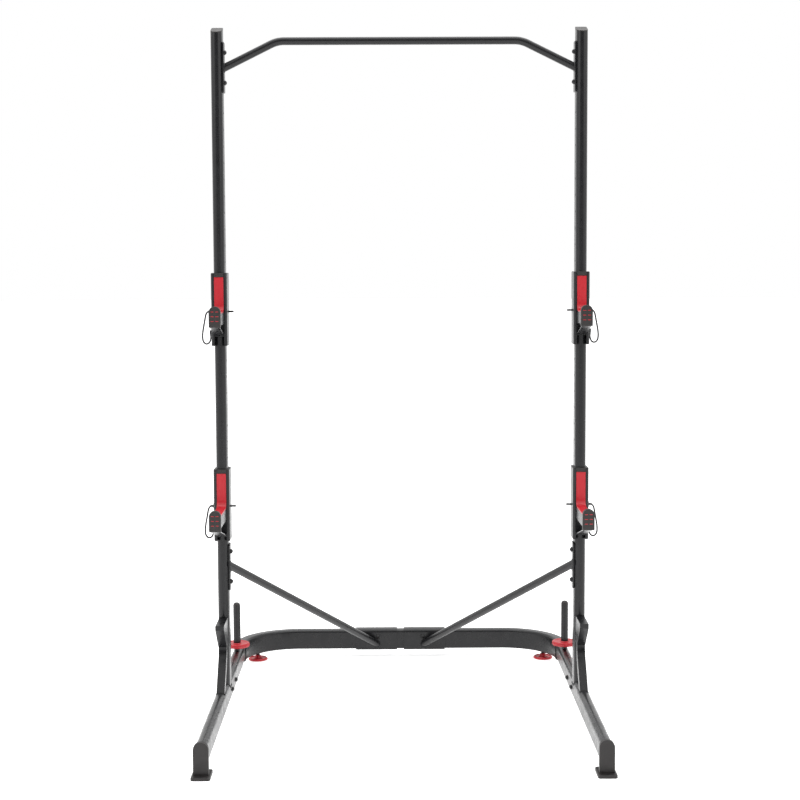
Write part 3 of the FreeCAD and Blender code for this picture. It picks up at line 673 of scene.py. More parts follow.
class PipeTree(GeometryTree):
    """A round tube along an edge path, with rounded bends and optional ripples."""

    name = "Tube along a path"
    inputs = {"Radius": "Float", "Bend": "Float", "Spacing": "Float", "Ripple depth": "Float",
              "Ripple pitch": "Float", "Sides": "Int"}

    def build(self) -> bpy.types.NodeSocket:
        """The swept tube."""
        add, calc = self.sheet.add, self.sheet.math
        path = add("GeometryNodeMeshToCurve", {"Mesh": self.given["Geometry"]})
        bent = add("GeometryNodeFilletCurve", {
            "Curve": path.outputs[0], "Radius": self.given["Bend"], "Count": 24}, mode="POLY")
        even = add("GeometryNodeResampleCurve", {
            "Curve": bent.outputs[0], "Length": self.given["Spacing"]}, mode="LENGTH")
        along = add("GeometryNodeSplineParameter").outputs["Length"]
        phase = calc("MULTIPLY", calc("DIVIDE", along, self.given["Ripple pitch"]), 2 * math.pi)
        wave = calc("MULTIPLY", calc("SINE", phase), self.given["Ripple depth"])
        swell = calc("ADD", wave, 1.0)
        ring = add("GeometryNodeCurvePrimitiveCircle", {
            "Resolution": self.given["Sides"], "Radius": self.given["Radius"]})
        sweep = add("GeometryNodeCurveToMesh", {
            "Profile Curve": ring.outputs[0], "Fill Caps": True})
        if "Scale" in sweep.inputs:
            self.tree.links.new(even.outputs[0], sweep.inputs["Curve"])
            self.tree.links.new(swell, sweep.inputs["Scale"])
        else:
            sized = add("GeometryNodeSetCurveRadius", {"Curve": even.outputs[0], "Radius": swell})
            self.tree.links.new(sized.outputs[0], sweep.inputs["Curve"])
        return sweep.outputs[0]

    def weld(self, name: str, body: str, paths: Sequence[Sequence[Vector]],
             radius: float = 0.0022, closed: bool = False) -> bpy.types.Object:
        """A rippled weld bead along each path.

        Args:
            name: the piece's name.
            body: the body that it moves with.
            paths: the corners of each bead's centre line.
            radius: the bead's radius.
            closed: whether each path closes on itself.

        Returns:
            The declared piece.
        """
        points: list[Vector] = []
        edges: list[tuple[int, int]] = []
        for path in paths:
            start = len(points)
            points += list(path)
            edges += [(start + i, start + i + 1) for i in range(len(path) - 1)]
            if closed:
                edges.append((len(points) - 1, start))
        piece = self.run(name, mesh_of(name, points, (), edges), Slot.STEEL, Radius=radius,
                         Bend=0.0, Spacing=0.0007, Ripple_depth=0.12, Ripple_pitch=0.0028,
                         Sides=8)
        return declare(piece, body, Slot.STEEL)


class ThreadTree(GeometryTree):
    """A screw thread: a small triangular rib wound round Z."""

    name = "Screw thread"
    inputs = {"Turns": "Float", "Length": "Float", "Core": "Float", "Rib": "Float",
              "Place": "Vector"}

    def build(self) -> bpy.types.NodeSocket:
        """The wound rib, moved to its place."""
        add = self.sheet.add
        spiral = add("GeometryNodeCurveSpiral", {
            "Resolution": 20, "Rotations": self.given["Turns"],
            "Start Radius": self.given["Core"], "End Radius": self.given["Core"],
            "Height": self.given["Length"]})
        rib = add("GeometryNodeCurvePrimitiveCircle", {
            "Resolution": 4, "Radius": self.given["Rib"]})
        wound = add("GeometryNodeCurveToMesh", {
            "Curve": spiral.outputs[0], "Profile Curve": rib.outputs[0], "Fill Caps": True})
        moved = add("GeometryNodeTransform", {
            "Geometry": wound.outputs[0], "Translation": self.given["Place"]})
        return moved.outputs[0]


@dataclass
class Workshop:
    """The trees that the sub-assemblies share."""

    facing: FacingTree = field(default_factory=FacingTree)
    row: RowTree = field(default_factory=RowTree)
    wheel: WheelTree = field(default_factory=WheelTree)
    pipe: PipeTree = field(default_factory=PipeTree)
    thread: ThreadTree = field(default_factory=ThreadTree)


def ellipse_on_plane(centre: Vector, way: Vector, normal: Vector, radius: float,
                     steps: int = 40) -> list[Vector]:
    """Where a round tube meets a plane.

    Args:
        centre: where the tube's axis meets the plane.
        way: the tube's direction.
        normal: the plane's normal.
        radius: the tube's radius.
        steps: points round the tube.

    Returns:
        The points of the ellipse.
    """
    way = way.normalized()
    side = way.orthogonal().normalized()
    other = way.cross(side)
    points = []
    for i in range(steps):
        turn = 2 * math.pi * i / steps
        p = centre + (side * math.cos(turn) + other * math.sin(turn)) * radius
        points.append(p + way * ((centre - p).dot(normal) / way.dot(normal)))
    return points


# ---- sub-assemblies --------------------------------------------------------------------------
@dataclass
class Posts:
    """The two upright posts, with their caps, hole rims and the welds at their feet."""

    shop: Workshop
    rim_r: float = 0.00036
    rim_out: float = 0.00012
    bead: float = 0.0022
    cap_edge: float = 0.0012

    def build(self) -> None:
        """Builds both posts."""
        for side in Side:
            word = side.word
            softened(f"post_{word}", f"steel_post_{word}", "root", Slot.STEEL)
            softened(f"post_cap_{word}", f"slanted_cap_{word}", "root", Slot.BLACK, self.cap_edge)
            self.rims(side)
            self.foot_weld(side)

    def rims(self, side: Side) -> None:
        """The slightly raised rims of the adjustment holes, on both faces of a post."""
        across, round_steps = 4, 12
        points, faces = [], []
        for face in (-1, 1):
            x = side.value * RACK.half + face * (RACK.crown + self.rim_out - self.rim_r)
            start = len(points)
            for i in range(round_steps):
                turn = 2 * math.pi * i / round_steps
                for j in range(across):
                    tilt = 2 * math.pi * j / across
                    reach = RACK.hole_d / 2 + self.rim_r * (0.6 + math.cos(tilt))
                    points.append(Vector((x + self.rim_r * math.sin(tilt),
                                          RACK.post_y + reach * math.cos(turn),
                                          RACK.hole_first + reach * math.sin(turn))))
                    here, turned = i * across, ((i + 1) % round_steps) * across
                    faces.append([start + here + j, start + turned + j,
                                  start + turned + (j + 1) % across,
                                  start + here + (j + 1) % across])
        name = f"hole_rims_{side.word}"
        piece = self.shop.row.run(name, mesh_of(name, points, faces), Slot.STEEL,
                                  Count=RACK.hole_count, Step=(0, 0, RACK.hole_pitch))
        declare(piece, "root", Slot.STEEL)

    def foot_weld(self, side: Side) -> None:
        """The weld round a post where it sits on the foot's crown."""
        r = RACK.crown
        outline = []
        for i in range(25):
            turn = math.pi * i / 24
            outline.append((r * math.cos(turn), RACK.front + r - r * math.sin(turn)))
        back = RACK.front + RACK.tube_d
        outline += [(-r, back - 0.02), (-r, back - 0.004), (-r + 0.004, back)]
        outline += [(-r + 0.0045 + 0.0026 * i, back) for i in range(1, 11)]
        outline += [(r - 0.004, back), (r, back - 0.004), (r, back - 0.02)]
        path = [Vector((side.value * RACK.half + x, y,
                        RACK.foot_top - r + math.sqrt(max(r * r - x * x, 0.0))))
                for x, y in outline]
        self.shop.pipe.weld(f"post_weld_{side.word}", "root", [path], self.bead, closed=True)


@dataclass
class Feet:
    """The long feet with their front caps and floor pads."""

    shop: Workshop
    cap_edge: float = 0.0011
    stud_r: float = 0.0042

    def build(self) -> None:
        """Builds both feet."""
        for side in Side:
            word = side.word
            softened(f"front_foot_{word}", f"front_foot_tube_{word}", "root", Slot.STEEL)
            softened(f"rear_foot_{word}", f"rear_foot_tube_{word}", "root", Slot.STEEL)
            softened(f"foot_cap_{word}", f"front_cap_and_pad_{word}", "root", Slot.BLACK,
                     self.cap_edge)
            self.pad_screw(side)

    def pad_screw(self, side: Side) -> None:
        """The countersunk screw in the free front edge of the floor pad."""
        low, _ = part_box(f"foot_cap_{side.word}")
        at = Vector((side.value * RACK.half, low.y + 0.0085, 0.009))
        r = self.stud_r
        profile = [(0, -0.002), (r, -0.002), (r, 0.0002), (r - 0.0005, 0.0007),
                   (0.0023, 0.0009), (0.0021, 0.0008, 1), (0.0020, -0.0006, 1), (0, -0.0008)]
        piece = turned_piece(f"pad_screw_{side.word}", profile, at, Slot.HARDWARE, steps=24)
        declare(piece, "root", Slot.HARDWARE)


@dataclass
class RearBase:
    """The bent rear base with its joint sleeves and the two braces."""

    shop: Workshop
    sleeve_front_y: float = 0.6865
    brace_r: float = 0.0125
    brace_high_z: float = 0.465
    brace_low: tuple[float, float] = (0.088, 0.051)
    edge: float = 0.0007

    def build(self) -> None:
        """Builds the base and both braces."""
        for side in Side:
            word = side.word
            softened(f"base_tube_{word}", f"bent_base_tube_{word}", "root", Slot.STEEL)
            softened(f"base_sleeve_{word}", f"joint_sleeve_{word}", "root", Slot.STEEL, self.edge)
            softened(f"brace_{word}", f"slanted_brace_{word}", "root", Slot.STEEL, self.edge)
            self.brace_welds(side)

    def brace_welds(self, side: Side) -> None:
        """The welds at both ends of a brace."""
        s = side.value
        high = Vector((s * RACK.plate_face, RACK.post_y, self.brace_high_z))
        low = Vector((s * self.brace_low[0], self.sleeve_front_y, self.brace_low[1]))
        way = high - low
        rings = [ellipse_on_plane(high, way, AXIS_X, self.brace_r),
                 ellipse_on_plane(low, way, AXIS_Y, self.brace_r)]
        self.shop.pipe.weld(f"brace_welds_{side.word}", "root", rings, 0.002, closed=True)


@dataclass
class KneeGussets:
    """The wedges and struts in front of the posts."""

    shop: Workshop
    shelf_w: float = 0.027
    shelf_low: float = 0.222
    shelf_top: float = 0.306
    strut_w: float = 0.025
    strut_span: tuple[float, float] = (0.122, 0.088)
    shelf_edge: float = 0.0012
    strut_edge: float = 0.0016

    def build(self) -> None:
        """Builds both gussets."""
        for side in Side:
            word = side.word
            softened(f"knee_shelf_{word}", f"knee_wedge_{word}", "root", Slot.STEEL,
                     self.shelf_edge)
            softened(f"knee_strut_{word}", f"knee_leg_{word}", "root", Slot.STEEL,
                     self.strut_edge)
            self.welds(side)

    def welds(self, side: Side) -> None:
        """The beads down the post's crown and along the foot's crown."""
        x0, r = side.value * RACK.half, RACK.crown
        beads = []
        for edge in (-1, 1):
            x = edge * self.shelf_w / 2
            y = RACK.front + r - math.sqrt(r * r - x * x)
            beads.append([Vector((x0 + x, y, self.shelf_low)), Vector((x0 + x, y, self.shelf_top))])
            x = edge * self.strut_w / 2
            z = RACK.foot_top - r + math.sqrt(r * r - x * x)
            beads.append([Vector((x0 + x, RACK.front - far, z)) for far in self.strut_span])
        self.shop.pipe.weld(f"knee_welds_{side.word}", "root", beads, 0.0018)


@dataclass
class ChinUpBar:
    """The chin-up bar: a bent tube between two end plates."""

    shop: Workshop
    radius: float = 0.012
    top_z: float = 2.093
    end_z: float = 2.013
    straight_half: float = 0.375
    bend: float = 0.090
    plate_h: float = 0.154
    plate_w: float = 0.040
    plate_corner: float = 0.006
    into_plate: float = 0.0025

    def build(self) -> None:
        """Builds the tube, its plates and their welds."""
        end = RACK.plate_face
        slope = (self.top_z - self.end_z) / (end - self.straight_half)
        far, far_z = end + 0.015, self.end_z - 0.015 * slope
        y = RACK.post_y
        path = [Vector((-far, y, far_z)), Vector((-self.straight_half, y, self.top_z)),
                Vector((self.straight_half, y, self.top_z)), Vector((far, y, far_z))]
        tube = self.shop.pipe.run(
            "chin_up_tube", mesh_of("chin_up_tube", path, (), [(0, 1), (1, 2), (2, 3)]),
            Slot.STEEL, Radius=self.radius, Bend=self.bend, Spacing=0.004, Ripple_depth=0.0,
            Ripple_pitch=1.0, Sides=40)
        work = bmesh.new()
        work.from_mesh(tube.data)
        for sign in (-1, 1):
            cut = bmesh.ops.bisect_plane(
                work, geom=work.verts[:] + work.edges[:] + work.faces[:],
                plane_co=(sign * (end + self.into_plate), 0, 0), plane_no=(sign, 0, 0),
                clear_outer=True)
            rim = [e for e in cut["geom_cut"] if isinstance(e, bmesh.types.BMEdge)]
            bmesh.ops.holes_fill(work, edges=rim)
        bmesh.ops.recalc_face_normals(work, faces=work.faces)
        work.to_mesh(tube.data)
        work.free()
        smooth(tube.data)
        declare(tube, "root", Slot.STEEL, "chin_up_bar")
        self.plates()
        rings = []
        for sign in (-1, 1):
            way = Vector((sign, 0, -slope))
            rings.append(ellipse_on_plane(Vector((sign * end, y, self.end_z)), way, AXIS_X,
                                          self.radius))
        self.shop.pipe.weld("chin_up_welds", "root", rings, 0.002, closed=True)

    def plates(self) -> None:
        """The two end plates as one piece."""
        outline = round_rectangle(self.plate_w, self.plate_h, self.plate_corner)
        shapes = []
        for sign in (-1, 1):
            low = min(sign * RACK.plate_face, sign * (RACK.plate_face + RACK.plate_t))
            matrix = frame_axes(AXIS_Y, AXIS_X, Vector((low, RACK.post_y, self.end_z)))
            shapes.append(slab(outline, RACK.plate_t, matrix))
        mesh = mesh_of("chin_up_plates", *joined(shapes))
        mesh.materials.append(POWDER_COAT.material())
        smooth(mesh)
        piece = round_edges(place_object("chin_up_plates", mesh), 0.0007)
        declare(piece, "root", Slot.STEEL)


@dataclass
class FrameScrews:
    """All the button-head screws of the frame."""

    shop: Workshop
    head_r: float = 0.0075
    head_h: float = 0.007
    foot_joint: float = 0.130
    foot_half: float = 0.060
    foot_z: float = 0.060
    bar_plate: tuple[float, float] = (2.013, 0.046)
    brace_plate: tuple[float, float] = (0.464, 0.048)
    peg_back: float = 0.446
    foot_under: float = 0.039
    base_joint: tuple[float, float, float] = (0.080, 0.6865, 0.0745)

    def pattern(self) -> tuple[list[Vector], list[list[int]]]:
        """One button head with a hexagon socket, facing +Z."""
        r, h = self.head_r, self.head_h
        dome = [(r * math.cos(t), 0.0012 + (h - 0.0012) * math.sin(t))
                for t in (0.0, 0.25, 0.5, 0.75, 0.98)]
        return lathe([(0, 0), (r - 0.0004, 0), (r, 0.0004), *dome, (0.0031, h),
                      (0.0027, h - 0.0002, 1), (0.0025, h - 0.0034, 1), (0, h - 0.0038)], 24)

    def places(self) -> list[tuple[Vector, Vector]]:
        """Where each head stands, and the way it faces."""
        found = []
        for side in Side:
            s = side.value
            inward = Vector((-s, 0, 0))
            inner = s * (RACK.half - RACK.tube_w / 2)
            found += [(Vector((inner, RACK.front + self.foot_joint + d, self.foot_z)), inward)
                      for d in (-self.foot_half, self.foot_half)]
            found += [(Vector((s * RACK.plate_face, RACK.post_y, middle + rise)), inward)
                      for middle, half in (self.bar_plate, self.brace_plate)
                      for rise in (-half, half)]
            found.append((Vector((s * RACK.half, RACK.front + self.peg_back,
                                  self.foot_under)), -AXIS_Z))
            x, y, z = self.base_joint
            found.append((Vector((s * x, y, z)), -AXIS_Y))
        return found

    def build(self) -> None:
        """Builds all the heads as one piece."""
        piece = self.shop.facing.scatter("button_screws", self.places(), self.pattern(),
                                         Slot.HARDWARE)
        declare(piece, "root", Slot.HARDWARE, "frame_screws")


@dataclass
class PlatePegs:
    """The plate pegs with their red discs and round caps."""

    shop: Workshop
    disc_r: float = 0.0425
    disc_t: float = 0.014
    neck_r: float = 0.010
    neck_l: float = 0.012
    flutes: int = 36

    def build(self) -> None:
        """Builds both pegs."""
        for side in Side:
            word = side.word
            softened(f"plate_peg_{word}", f"peg_tube_{word}", "root", Slot.STEEL, 0.0005)
            softened(f"peg_cap_{word}", f"peg_end_cap_{word}", "root", Slot.BLACK)
            self.disc(side)

    def disc(self, side: Side) -> None:
        """The dished red disc, and the small ribs round its rim."""
        low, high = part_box(f"plate_peg_{side.word}")
        at = Vector((side.value * RACK.half, (low.y + high.y) / 2, RACK.foot_top + self.neck_l))
        r, t, bore = self.disc_r, self.disc_t, self.neck_r
        profile = [(bore, 0), (r - 0.004, 0), (r - 0.0015, 0.001), (r - 0.0006, 0.003),
                   (r - 0.0006, t - 0.003), (r - 0.0014, t - 0.0012), (r - 0.0035, t),
                   (r - 0.0085, t), (r - 0.0105, t - 0.0014), (0.0165, t - 0.0014),
                   (0.015, t), (bore, t)]
        piece = turned_piece(f"red_disc_{side.word}", profile, at, Slot.RED, steps=96, ring=True)
        declare(piece, "root", Slot.RED, f"peg_disc_{side.word}")
        rib = lathe([(0, -0.004), (0.0007, -0.0037), (0.0009, -0.003), (0.0009, 0.003),
                     (0.0007, 0.0037), (0, 0.004)], 8)
        base = mesh_of("rib", [p + Vector((r - 0.0009, 0, t / 2)) for p in rib[0]], rib[1])
        ribs = self.shop.wheel.run(f"disc_ribs_{side.word}", base, Slot.RED, Count=self.flutes,
                                   Centre=tuple(at))
        declare(ribs, "root", Slot.RED)


@dataclass
class Levellers:
    """The levelling feet under the rear corners: threaded stems and red discs."""

    shop: Workshop
    disc_r: float = 0.033
    disc_h: float = 0.009
    hub_h: float = 0.009
    core: float = 0.0058
    turns: float = 23.0
    grips: int = 24

    def build(self) -> None:
        """Builds both feet."""
        for side in Side:
            word = side.word
            low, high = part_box(f"leveller_stem_{word}")
            centre = Vector(((low.x + high.x) / 2, (low.y + high.y) / 2, 0))
            softened(f"leveller_stem_{word}", f"level_stem_{word}", f"leveller_{word}",
                     Slot.HARDWARE, 0.0006)
            thread = self.shop.thread.run(
                f"level_thread_{word}", mesh_of("seed", [(0, 0, 0)]), Slot.HARDWARE,
                Turns=self.turns, Length=high.z - low.z - 0.002, Core=self.core, Rib=0.0006,
                Place=tuple(centre + AXIS_Z * (low.z + 0.001)))
            declare(thread, f"leveller_{word}", Slot.HARDWARE)
            self.disc(word, centre)

    def disc(self, word: str, centre: Vector) -> None:
        """The red disc with its cone hub and the grips on its rim."""
        r, h, top = self.disc_r, self.disc_h, self.disc_h + self.hub_h
        profile = [(0, 0), (r - 0.0025, 0), (r - 0.0008, 0.0008), (r, 0.0025),
                   (r, h - 0.0035), (r - 0.001, h - 0.0012), (r - 0.0025, h),
                   (0.029, h), (0.028, h - 0.0008), (0.0275, h - 0.0025),
                   (0.0175, h - 0.0025), (0.017, h - 0.0008), (0.0155, h),
                   (0.0135, h + 0.0008), (0.0123, h + 0.0025),
                   (0.0096, top - 0.001), (0.0088, top), (0.0066, top), (0.0063, top - 0.0009),
                   (0, top - 0.001)]
        body = f"leveller_{word}_disc"
        piece = turned_piece(f"level_disc_{word}", profile, centre, Slot.RED, steps=80)
        declare(piece, body, Slot.RED, f"leveller_disc_{word}")
        grip = lathe([(0, -0.0024), (0.0008, -0.0021), (0.0011, -0.0015), (0.0011, 0.0015),
                      (0.0008, 0.0021), (0, 0.0024)], 8)
        base = mesh_of("grip", [p + Vector((r - 0.0003, 0, 0.0042)) for p in grip[0]], grip[1])
        grips = self.shop.wheel.run(f"level_grips_{word}", base, Slot.RED, Count=self.grips,
                                    Centre=tuple(centre))
        declare(grips, body, Slot.RED)


@dataclass
class Carriage:
    """One sliding carriage with its hook arm, liner, tip and pin."""

    shop: Workshop
    side: Side
    level: Level
    arm_w: float = 0.029
    sleeve_front: float = -0.0575
    bar_rows: tuple[float, ...] = (0.0037, -0.0106, -0.0248)
    bar_half: float = 0.0072
    bar_w: float = 0.0092
    bar_h: float = 0.0018
    bar_t: float = 0.0010
    bar_corner: float = 0.0008
    weld_span: tuple[float, float] = (-0.006, -0.036)
    flutes: int = 28

    @property
    def tag(self) -> str:
        """The ending of this carriage's piece names."""
        return f"{self.level.word}_{self.side.word}"

    def node(self, what: str) -> str:
        """The frame node of one of the carriage's parts."""
        return f"{self.level.word}_{what}_{self.side.word}"

    def build(self) -> None:
        """Builds the carriage."""
        body, lock = f"{self.tag}_carriage", f"{self.tag}_lock"
        softened(self.node("carriage"), f"hook_sleeve_{self.tag}", body, Slot.STEEL, 0.0007)
        softened(self.node("bushes"), f"slide_bushes_{self.tag}", body, Slot.BLACK, 0.0006)
        softened(self.node("liner"), f"red_liner_{self.tag}", body, Slot.RED, 0.0007)
        softened(self.node("tip"), f"hook_tip_{self.tag}", body, Slot.BLACK, 0.0009)
        softened(self.node("pin"), f"locking_pin_{self.tag}", lock, Slot.HARDWARE)
        self.tip_bars(body)
        self.arm_welds(body)
        self.pin_flutes(lock)

    def tip_bars(self, body: str) -> None:
        """Plain raised red bars on the front of the tip."""
        y = RACK.front - self.level.reach
        x0 = self.side.value * RACK.half
        places = []
        for row in self.bar_rows:
            for across in (-1, 1):
                places.append((Vector((x0 + across * self.bar_half, y, self.level.pin_z + row)),
                               -AXIS_Y))
        outline = round_rectangle(self.bar_w, self.bar_h, self.bar_corner, 3)
        pattern = slab(outline, self.bar_t, Matrix.Translation((0, 0, -self.bar_t / 2)))
        piece = self.shop.facing.scatter(f"tip_bars_{self.tag}", places, pattern, Slot.RED)
        declare(piece, body, Slot.RED)

    def arm_welds(self, body: str) -> None:
        """The two beads that join the arm's sides to the sleeve."""
        x0, pin_z = self.side.value * RACK.half, self.level.pin_z
        beads = [[Vector((x0 + edge * self.arm_w / 2, self.sleeve_front + 0.0006, pin_z + z))
                  for z in self.weld_span] for edge in (-1, 1)]
        self.shop.pipe.weld(f"arm_welds_{self.tag}", body, beads, 0.0014)

    def pin_flutes(self, lock: str) -> None:
        """The flutes round the pin's head."""
        low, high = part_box(self.node("pin"))
        out = self.side.value
        centre_x = out * (RACK.half + RACK.sleeve_w / 2 + 0.0023)
        flute = lathe([(0, -0.0016), (0.0006, -0.0013), (0.0006, 0.0013), (0, 0.0016)], 8)
        radius = (high.z - low.z) / 2
        places = []
        for i in range(self.flutes):
            turn = 2 * math.pi * i / self.flutes
            places.append((Vector((centre_x, RACK.post_y + radius * math.cos(turn),
                                   self.level.pin_z + radius * math.sin(turn))), AXIS_X))
        piece = self.shop.facing.scatter(f"pin_flutes_{self.tag}", places, flute, Slot.HARDWARE)
        declare(piece, lock, Slot.HARDWARE)


@dataclass
class Lanyard:
    """The short cord that keeps a locking pin on its carriage."""

    side: Side
    level: Level
    radius: float = 0.0025
    length: float = 0.152
    sides: int = 14
    route: tuple[tuple[float, float, float], ...] = (
        (7.3, 0, 0), (13.5, 0, 0), (19.5, -1, -6.5), (22, -2, -18), (24.5, -3, -33),
        (27.4, -3.5, -48), (30, -3, -63), (31.5, -2, -78), (30, -1, -92), (22.5, 0, -101),
        (13.5, 0, -100), (7.8, 0, -93), (5.5, 0, -84), (5.2, 0.3, -77), (5, 0, -70.3))

    def place(self, point: Sequence[float]) -> Vector:
        """A point of the route, given in millimetres from the sleeve's side at the pin."""
        x, y, z = (c * MM for c in point)
        return Vector((self.side.value * (RACK.half + RACK.sleeve_w / 2 + x),
                       RACK.post_y + y, self.level.pin_z + z))

    def centre_line(self) -> list[Vector]:
        """Points read from the smooth spline that the route's points control."""
        curve = bpy.data.curves.new("lanyard_line", "CURVE")
        curve.dimensions = "3D"
        spline = curve.splines.new("NURBS")
        spline.points.add(len(self.route) - 1)
        for point, place in zip(spline.points, self.route):
            point.co = (*self.place(place), 1.0)
        spline.order_u = 3
        spline.use_endpoint_u = True
        spline.resolution_u = 12
        line = place_object("lanyard_line", curve)
        graph = bpy.context.evaluated_depsgraph_get()
        mesh = bpy.data.meshes.new_from_object(line.evaluated_get(graph))
        points = [v.co.copy() for v in mesh.vertices]
        bpy.data.objects.remove(line)
        bpy.data.meshes.remove(mesh)
        kept = [points[0]]
        kept += [b for a, b in zip(points, points[1:]) if (b - a).length > 1e-5]
        return kept

    def tube(self, name: str, line: Sequence[Vector]) -> bpy.types.Object:
        """The cord's mesh along its centre line, with a UV map that follows it."""
        n = self.sides
        around = (line[1] - line[0]).orthogonal().normalized()
        points, lengths, run = [], [], 0.0
        for i, here in enumerate(line):
            ahead = (line[min(i + 1, len(line) - 1)] - line[max(i - 1, 0)]).normalized()
            around = (around - ahead * around.dot(ahead)).normalized()
            across = ahead.cross(around)
            run += (here - line[i - 1]).length if i else 0.0
            lengths.append(run)
            for j in range(n):
                turn = 2 * math.pi * j / n
                points.append(here + (around * math.cos(turn) + across * math.sin(turn))
                              * self.radius)
        faces = [[i * n + j, i * n + (j + 1) % n, (i + 1) * n + (j + 1) % n, (i + 1) * n + j]
                 for i in range(len(line) - 1) for j in range(n)]
        first, last = list(range(n))[::-1], list(range((len(line) - 1) * n, len(line) * n))
        mesh = bpy.data.meshes.new(name)
        mesh.from_pydata([tuple(p) for p in points], [], faces + [first, last])
        uv = mesh.uv_layers.new(name="Braid")
        girth = 2 * math.pi * self.radius
        for polygon in mesh.polygons:
            corners = [mesh.loops[k].vertex_index for k in polygon.loop_indices]
            wraps = len(corners) == 4 and any(c % n == n - 1 for c in corners)
            for k, c in zip(polygon.loop_indices, corners):
                u = 1.0 if wraps and c % n == 0 else (c % n) / n
                uv.data[k].uv = (u, lengths[c // n] / girth)
        work = bmesh.new()
        work.from_mesh(mesh)
        bmesh.ops.recalc_face_normals(work, faces=work.faces)
        work.to_mesh(mesh)
        work.free()
        smooth(mesh, 50.0)
        mesh.materials.append(CORD.material())
        return place_object(name, mesh)

    def ferrules(self, tag: str) -> list[bpy.types.Object]:
        """The crimped barrels at the pin's end and at the sleeve's end."""
        r = self.radius
        crimp = [(0, 0), (r + 0.0006, 0), (r + 0.0011, 0.0006), (r + 0.0011, 0.0018),
                 (r + 0.0006, 0.0024), (r + 0.0006, 0.0038), (r + 0.0011, 0.0044),
                 (r + 0.0011, 0.0062), (r + 0.0003, 0.0070), (0, 0.0070)]
        out = Vector((self.side.value, 0, 0))
        upper = turned_piece(f"pin_ferrule_{tag}", crimp, self.place(self.route[0]),
                             Slot.HARDWARE, out, steps=28)
        low = self.place(self.route[-1]) + AXIS_Z * 0.0002
        lower = turned_piece(f"sleeve_ferrule_{tag}", crimp, low, Slot.HARDWARE, -AXIS_Z,
                             steps=28)
        return [declare(upper, f"{tag}_lock", Slot.HARDWARE),
                declare(lower, f"{tag}_carriage", Slot.HARDWARE)]

    def build(self) -> None:
        tag = f"{self.level.word}_{self.side.word}"
        line = self.centre_line()
        piece = self.tube(f"pin_lanyard_{tag}", line)
        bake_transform(piece)
        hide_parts(f"{self.level.word}_lanyard_{self.side.word}")
        ends = self.ferrules(tag)
        total = sum((b - a).length for a, b in zip(line, line[1:]))
        LOG.info("lanyard %s is %.4f m long", tag, total)


@dataclass
class InnerSteel:
    """The spigots hidden in the frame's joints, which keep their frame meshes."""

    nodes: tuple[str, ...] = ("base_spigot", "foot_spigot_left", "foot_spigot_right")

    def build(self) -> None:
        """Gives each spigot its finish."""
        for name in self.nodes:
            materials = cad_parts[name].data.materials
            materials.clear()
            materials.append(BARE_STEEL.material())


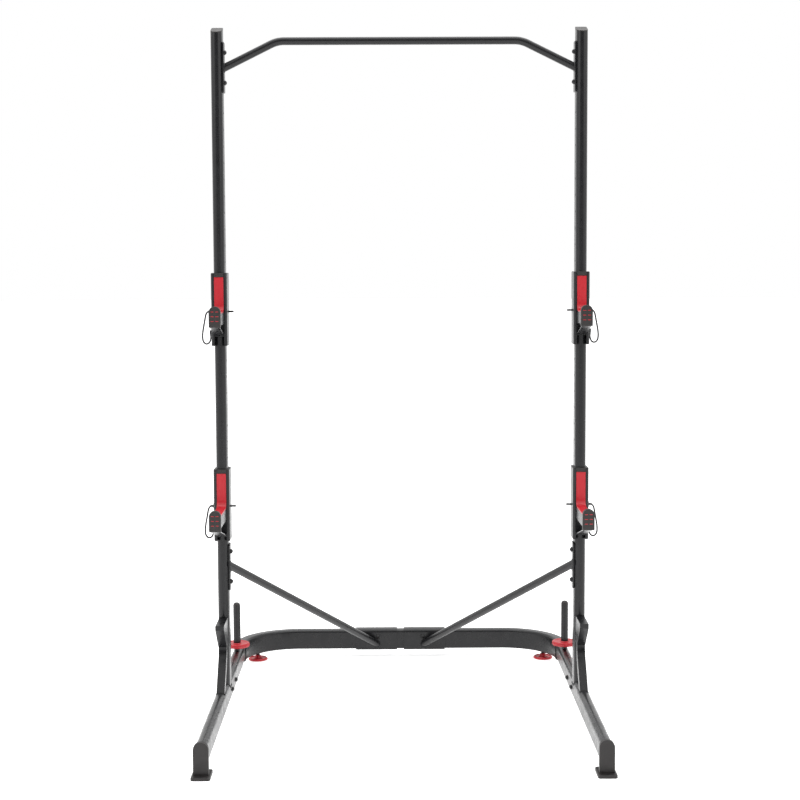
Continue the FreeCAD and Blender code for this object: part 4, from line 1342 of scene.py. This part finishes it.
# ---- studio ----------------------------------------------------------------------------------
@dataclass
class Studio:
    """The plain pale floor, the soft light and the camera."""

    lens: float = 73.84
    camera_at: tuple[float, float, float] = (-0.03697, -5.1282, 1.41238)
    pitch: float = 4.760
    yaw: float = 0.386
    roll: float = 0.245
    floor_r: float = 60.0
    floor_glow: float = 0.5
    sky: float = 1.0
    front_sky: float = 0.10
    side_sky: float = 1.2
    back_sky: float = 1.0
    top_sky: float = 1.45

    def build(self) -> None:
        """Builds the studio."""
        self.camera()
        self.floor()
        self.world()
        self.softbox("softbox_left", (-3.4, -2.6, 3.4), 3.0, 32.0)
        self.softbox("softbox_right", (3.4, -2.6, 3.4), 3.0, 28.0)
        self.softbox("softbox_top", (0.0, 0.6, 4.6), 3.6, 80.0)
        bpy.context.scene.view_settings.view_transform = "Standard"

    def camera(self) -> None:
        """The camera in front, at about two thirds of the rack's height."""
        data = bpy.data.cameras.new("camera")
        data.lens = self.lens
        data.sensor_width = 36.0
        data.clip_end = 200.0
        camera = bpy.data.objects.new("camera", data)
        bpy.context.scene.collection.objects.link(camera)
        turn = (Matrix.Rotation(math.radians(-self.yaw), 4, "Z")
                @ Matrix.Rotation(math.radians(90 - self.pitch), 4, "X")
                @ Matrix.Rotation(math.radians(-self.roll), 4, "Z"))
        camera.matrix_world = Matrix.Translation(self.camera_at) @ turn
        bpy.context.scene.camera = camera

    def floor(self) -> None:
        """The wide pale floor."""
        points, faces = lathe([(0, 0), (3.0, 0), (self.floor_r, 0)], 64)
        mesh = mesh_of("studio_floor", points, faces)
        material, sheet = material_sheet("Pale studio floor")
        place = sheet.add("ShaderNodeTexCoord").outputs["Object"]
        haze = sheet.add("ShaderNodeTexNoise", {"Vector": place, "Scale": 1.5})
        tone = sheet.add("ShaderNodeValToRGB", {"Fac": haze.outputs["Fac"]})
        tone.color_ramp.elements[0].color = (0.90, 0.90, 0.90, 1)
        tone.color_ramp.elements[1].color = (0.92, 0.92, 0.92, 1)
        shader = sheet.add("ShaderNodeBsdfPrincipled", {
            "Base Color": tone.outputs["Color"], "Roughness": 0.85,
            "Specular IOR Level": 0.1, "Emission Color": (1, 1, 1, 1),
            "Emission Strength": self.floor_glow})
        sheet.add("ShaderNodeOutputMaterial", {"Surface": shader.outputs["BSDF"]})
        mesh.materials.append(material)
        place_object("studio_floor", mesh)

    def world(self) -> None:
        """A white surround, dark only from the front."""
        world = bpy.data.worlds.new("studio_surround")
        world.use_nodes = True
        world.node_tree.nodes.clear()
        sheet = NodeSheet(world.node_tree)
        way = sheet.add("ShaderNodeSeparateXYZ", {
            "Vector": sheet.add("ShaderNodeTexCoord").outputs["Generated"]})
        side = sheet.math("ABSOLUTE", way.outputs["X"])
        level = self.front_sky
        for value, start, stop, bright in ((side, 0.5, 0.85, self.side_sky),
                                           (way.outputs["Y"], 0.0, 0.6, self.back_sky),
                                           (way.outputs["Z"], 0.3, 0.8, self.top_sky)):
            ramp = sheet.add("ShaderNodeMapRange", {
                "Value": value, "From Min": start, "From Max": stop,
                "To Min": self.front_sky, "To Max": bright}, interpolation_type="SMOOTHSTEP")
            level = sheet.math("MAXIMUM", level, ramp.outputs["Result"])
        lit = sheet.add("ShaderNodeBackground", {"Strength": level})
        seen = sheet.add("ShaderNodeBackground", {"Strength": self.sky})
        for shader in (lit, seen):
            shader.inputs["Color"].default_value = (1, 1, 1, 1)
        ray = sheet.add("ShaderNodeLightPath").outputs["Is Camera Ray"]
        mixed = sheet.add("ShaderNodeMixShader", {
            0: ray, 1: lit.outputs[0], 2: seen.outputs[0]})
        sheet.add("ShaderNodeOutputWorld", {"Surface": mixed.outputs[0]})
        bpy.context.scene.world = world

    def softbox(self, name: str, at: tuple[float, float, float], size: float,
                power: float) -> None:
        """One large square lamp aimed at the middle of the rack.

        Args:
            name: the lamp's name.
            at: its place.
            size: its side.
            power: its power in watts.
        """
        data = bpy.data.lights.new(name, "AREA")
        data.shape = "SQUARE"
        data.size = size
        data.energy = power
        lamp = bpy.data.objects.new(name, data)
        bpy.context.scene.collection.objects.link(lamp)
        aim = Vector((0, 0, 1.0)) - Vector(at)
        lamp.matrix_world = (Matrix.Translation(at)
                             @ aim.to_track_quat("-Z", "Y").to_matrix().to_4x4())


def main() -> None:
    """Builds the studio and every sub-assembly in order."""
    logging.basicConfig(level=logging.INFO, format="%(message)s")
    shop = Workshop()
    Studio().build()
    for side in Side:
        for level in Level:
            Lanyard(side, level).build()
    for part in (Posts(shop), Feet(shop), RearBase(shop), KneeGussets(shop), ChinUpBar(shop),
                 FrameScrews(shop), PlatePegs(shop), Levellers(shop)):
        LOG.info("building %s", type(part).__name__)
        part.build()
    for side in Side:
        for level in Level:
            Carriage(shop, side, level).build()
    InnerSteel().build()


if __name__ == "__main__":
    main()
